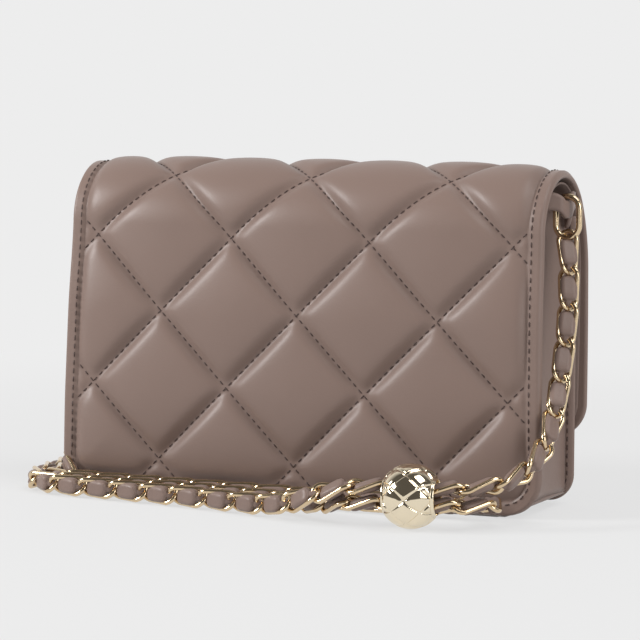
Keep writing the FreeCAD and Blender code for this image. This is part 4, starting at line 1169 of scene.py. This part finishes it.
ball_points, ball_faces = [], []
turns = [2 * math.pi * step / BALL_ROUND for step in range(BALL_ROUND)]
for row in range(BALL_ROWS + 1):
    polar = rim_angle + (math.pi - 2 * rim_angle) * row / BALL_ROWS
    for around in turns:
        radius = ball_radius(polar, around)
        out = radius * math.sin(polar)
        spot = Vector((radius * math.cos(polar), out * math.cos(around), out * math.sin(around)))
        ball_points.append(ball_frame @ spot)
for side in (1, -1):
    for around in turns:
        reach = min(CHANNEL_WIDTH / 2 / max(abs(math.cos(around)), NEVER_ZERO),
                    CHANNEL_HEIGHT / 2 / max(abs(math.sin(around)), NEVER_ZERO),
                    BALL_RADIUS * math.sin(rim_angle) - CHANNEL_EDGE)
        spot = Vector((side * (BALL_END - CHANNEL_SINK), reach * math.cos(around), reach * math.sin(around)))
        ball_points.append(ball_frame @ spot)
# The face's rings from end to end, closed by the channel's two rings.
ball_rings = [BALL_ROWS + 1, *range(BALL_ROWS + 1), BALL_ROWS + 2, BALL_ROWS + 1]
add_bands(ball_faces, [ring * BALL_ROUND for ring in ball_rings], BALL_ROUND)
ball_gold = gold_finish("mirror_pale_gold", BALL_GOLD, 0.07, 0.003 * mm)
ball = make_piece("engraved_ball", ball_points, ball_faces, ball_gold)
dress(ball, "ball", "gold_metal", "ball_shell")
dark_sleeve = matt_finish("dark_sleeve", (0.03, 0.026, 0.023), uneven=0.2, speckle=(700, 3),
                          roughness=0.7)
paint("ball_sleeve", dark_sleeve)

# Stage: a plain pale floor and a backdrop of the same colour, in a studio that is pale behind the bag
# and dim in front of it. A key lamp stands on the camera's left, with a weaker one above and one on the right.
# The camera stands at the photograph's angle.

BACKDROP = (0.847, 0.847, 0.847)
DIM_ROOM = (0.1, 0.095, 0.09)
ROOM_LIGHT = 0.5
ROOM_FACING = (-0.4, 0.9, 0)
FLOOR_GREY = (0.62, 0.62, 0.62)
FLOOR_HALF = 4.0
FLOOR_GLOW = 0.75
FLOOR_NEAR = 0.2
FLOOR_FAR = 0.55


def joined(tree, operation, first, second):
    """Result of a maths operation on two values."""
    node = new_node(tree, "Math")
    node.operation = operation
    tree.links.new(first, node.inputs[0])
    tree.links.new(second, node.inputs[1])
    return node.outputs[0]


def seen_rays(tree):
    """1 for the rays that show the backdrop: straight to the camera, mirrored or through glass."""
    rays = new_node(tree, "LightPath").outputs
    mirrored = joined(tree, "MAXIMUM", rays["Is Camera Ray"], rays["Is Glossy Ray"])
    return joined(tree, "MAXIMUM", mirrored, rays["Is Transmission Ray"])


def mix_surface(tree, share, first, second, output):
    """Shows the second shader over the first, by a share, on a tree's output."""
    mix = new_node(tree, "MixShader")
    for number, socket in enumerate((share, first, second)):
        tree.links.new(socket, mix.inputs[number])
    tree.links.new(mix.outputs["Shader"], tree.nodes[output].inputs["Surface"])


corners = [(-1, -1), (1, -1), (1, 1), (-1, 1)]
floor_mesh = bpy.data.meshes.new("floor")
floor_mesh.from_pydata([(x * FLOOR_HALF, y * FLOOR_HALF, 0) for x, y in corners], [], [(0, 1, 2, 3)])
floor = bpy.data.objects.new("floor", floor_mesh)
bpy.context.scene.collection.objects.link(floor)
floor_finish, tree, matt = new_finish("pale_floor")
set_inputs(matt, Base_Color=(*FLOOR_GREY, 1), Roughness=0.9, Specular_IOR_Level=0.1)
glow = new_node(tree, "Emission", Color=(*BACKDROP, 1))
place = new_node(tree, "TexCoord")
length = new_node(tree, "VectorMath")
length.operation = "LENGTH"
tree.links.new(place.outputs["Object"], length.inputs[0])
span = new_node(tree, "MapRange", From_Min=FLOOR_NEAR, From_Max=FLOOR_FAR, To_Min=FLOOR_GLOW)
span.interpolation_type = "SMOOTHSTEP"
tree.links.new(length.outputs["Value"], span.inputs["Value"])
glow_share = joined(tree, "MULTIPLY", seen_rays(tree), span.outputs["Result"])
mix_surface(tree, glow_share, matt.outputs["BSDF"], glow.outputs["Emission"], "Material Output")
floor_mesh.materials.append(floor_finish)

world = bpy.data.worlds.new("studio")
bpy.context.scene.world = world
world.use_nodes = True
tree = world.node_tree
soft = tree.nodes["Background"]
set_inputs(soft, Color=(1, 1, 1, 1), Strength=ROOM_LIGHT)
place = new_node(tree, "TexCoord")
facing = new_node(tree, "VectorMath")
facing.operation = "DOT_PRODUCT"
facing.inputs[1].default_value = ROOM_FACING
tree.links.new(place.outputs["Generated"], facing.inputs[0])
span = new_node(tree, "MapRange", From_Min=0.1, From_Max=0.6)
tree.links.new(facing.outputs["Value"], span.inputs["Value"])
backdrop = new_node(tree, "Background")
tint(tree, span.outputs["Result"], DIM_ROOM, BACKDROP, backdrop.inputs["Color"])
mix_surface(tree, seen_rays(tree), soft.outputs["Background"], backdrop.outputs["Background"], "World Output")

LAMP_AIM = Vector((0, 0, 0.06))


def lamp(name, place, width, power):
    """Wide soft lamp that points at the bag."""
    light = bpy.data.lights.new(name, "AREA")
    light.shape = "SQUARE"
    light.size = width
    light.energy = power
    holder = bpy.data.objects.new(name, light)
    holder.location = place
    holder.rotation_euler = (LAMP_AIM - Vector(place)).to_track_quat("-Z", "Y").to_euler()
    bpy.context.scene.collection.objects.link(holder)


lamp("key_lamp", (-1.2, -0.8, 0.72), 0.5, 22)
lamp("top_lamp", (0.78, -0.2, 1.4), 0.8, 9)
lamp("side_lamp", (1.5, -0.6, 0.5), 0.8, 9)

EYE = Vector((449.7, -1020.1, 165.0)) * mm
TARGET = Vector((11.64, -28.5, 68.24)) * mm
ROLL = 0.005
camera_data = bpy.data.cameras.new("camera")
camera_data.lens = 168.75
camera_data.sensor_width = 36
camera_data.clip_start = 0.01
camera = bpy.data.objects.new("camera", camera_data)
look = (TARGET - EYE).to_track_quat("-Z", "Y").to_matrix() @ Matrix.Rotation(ROLL, 3, "Z")
camera.matrix_world = Matrix.Translation(EYE) @ look.to_4x4()
bpy.context.scene.collection.objects.link(camera)
bpy.context.scene.camera = camera
bpy.context.scene.view_settings.view_transform = "Standard"
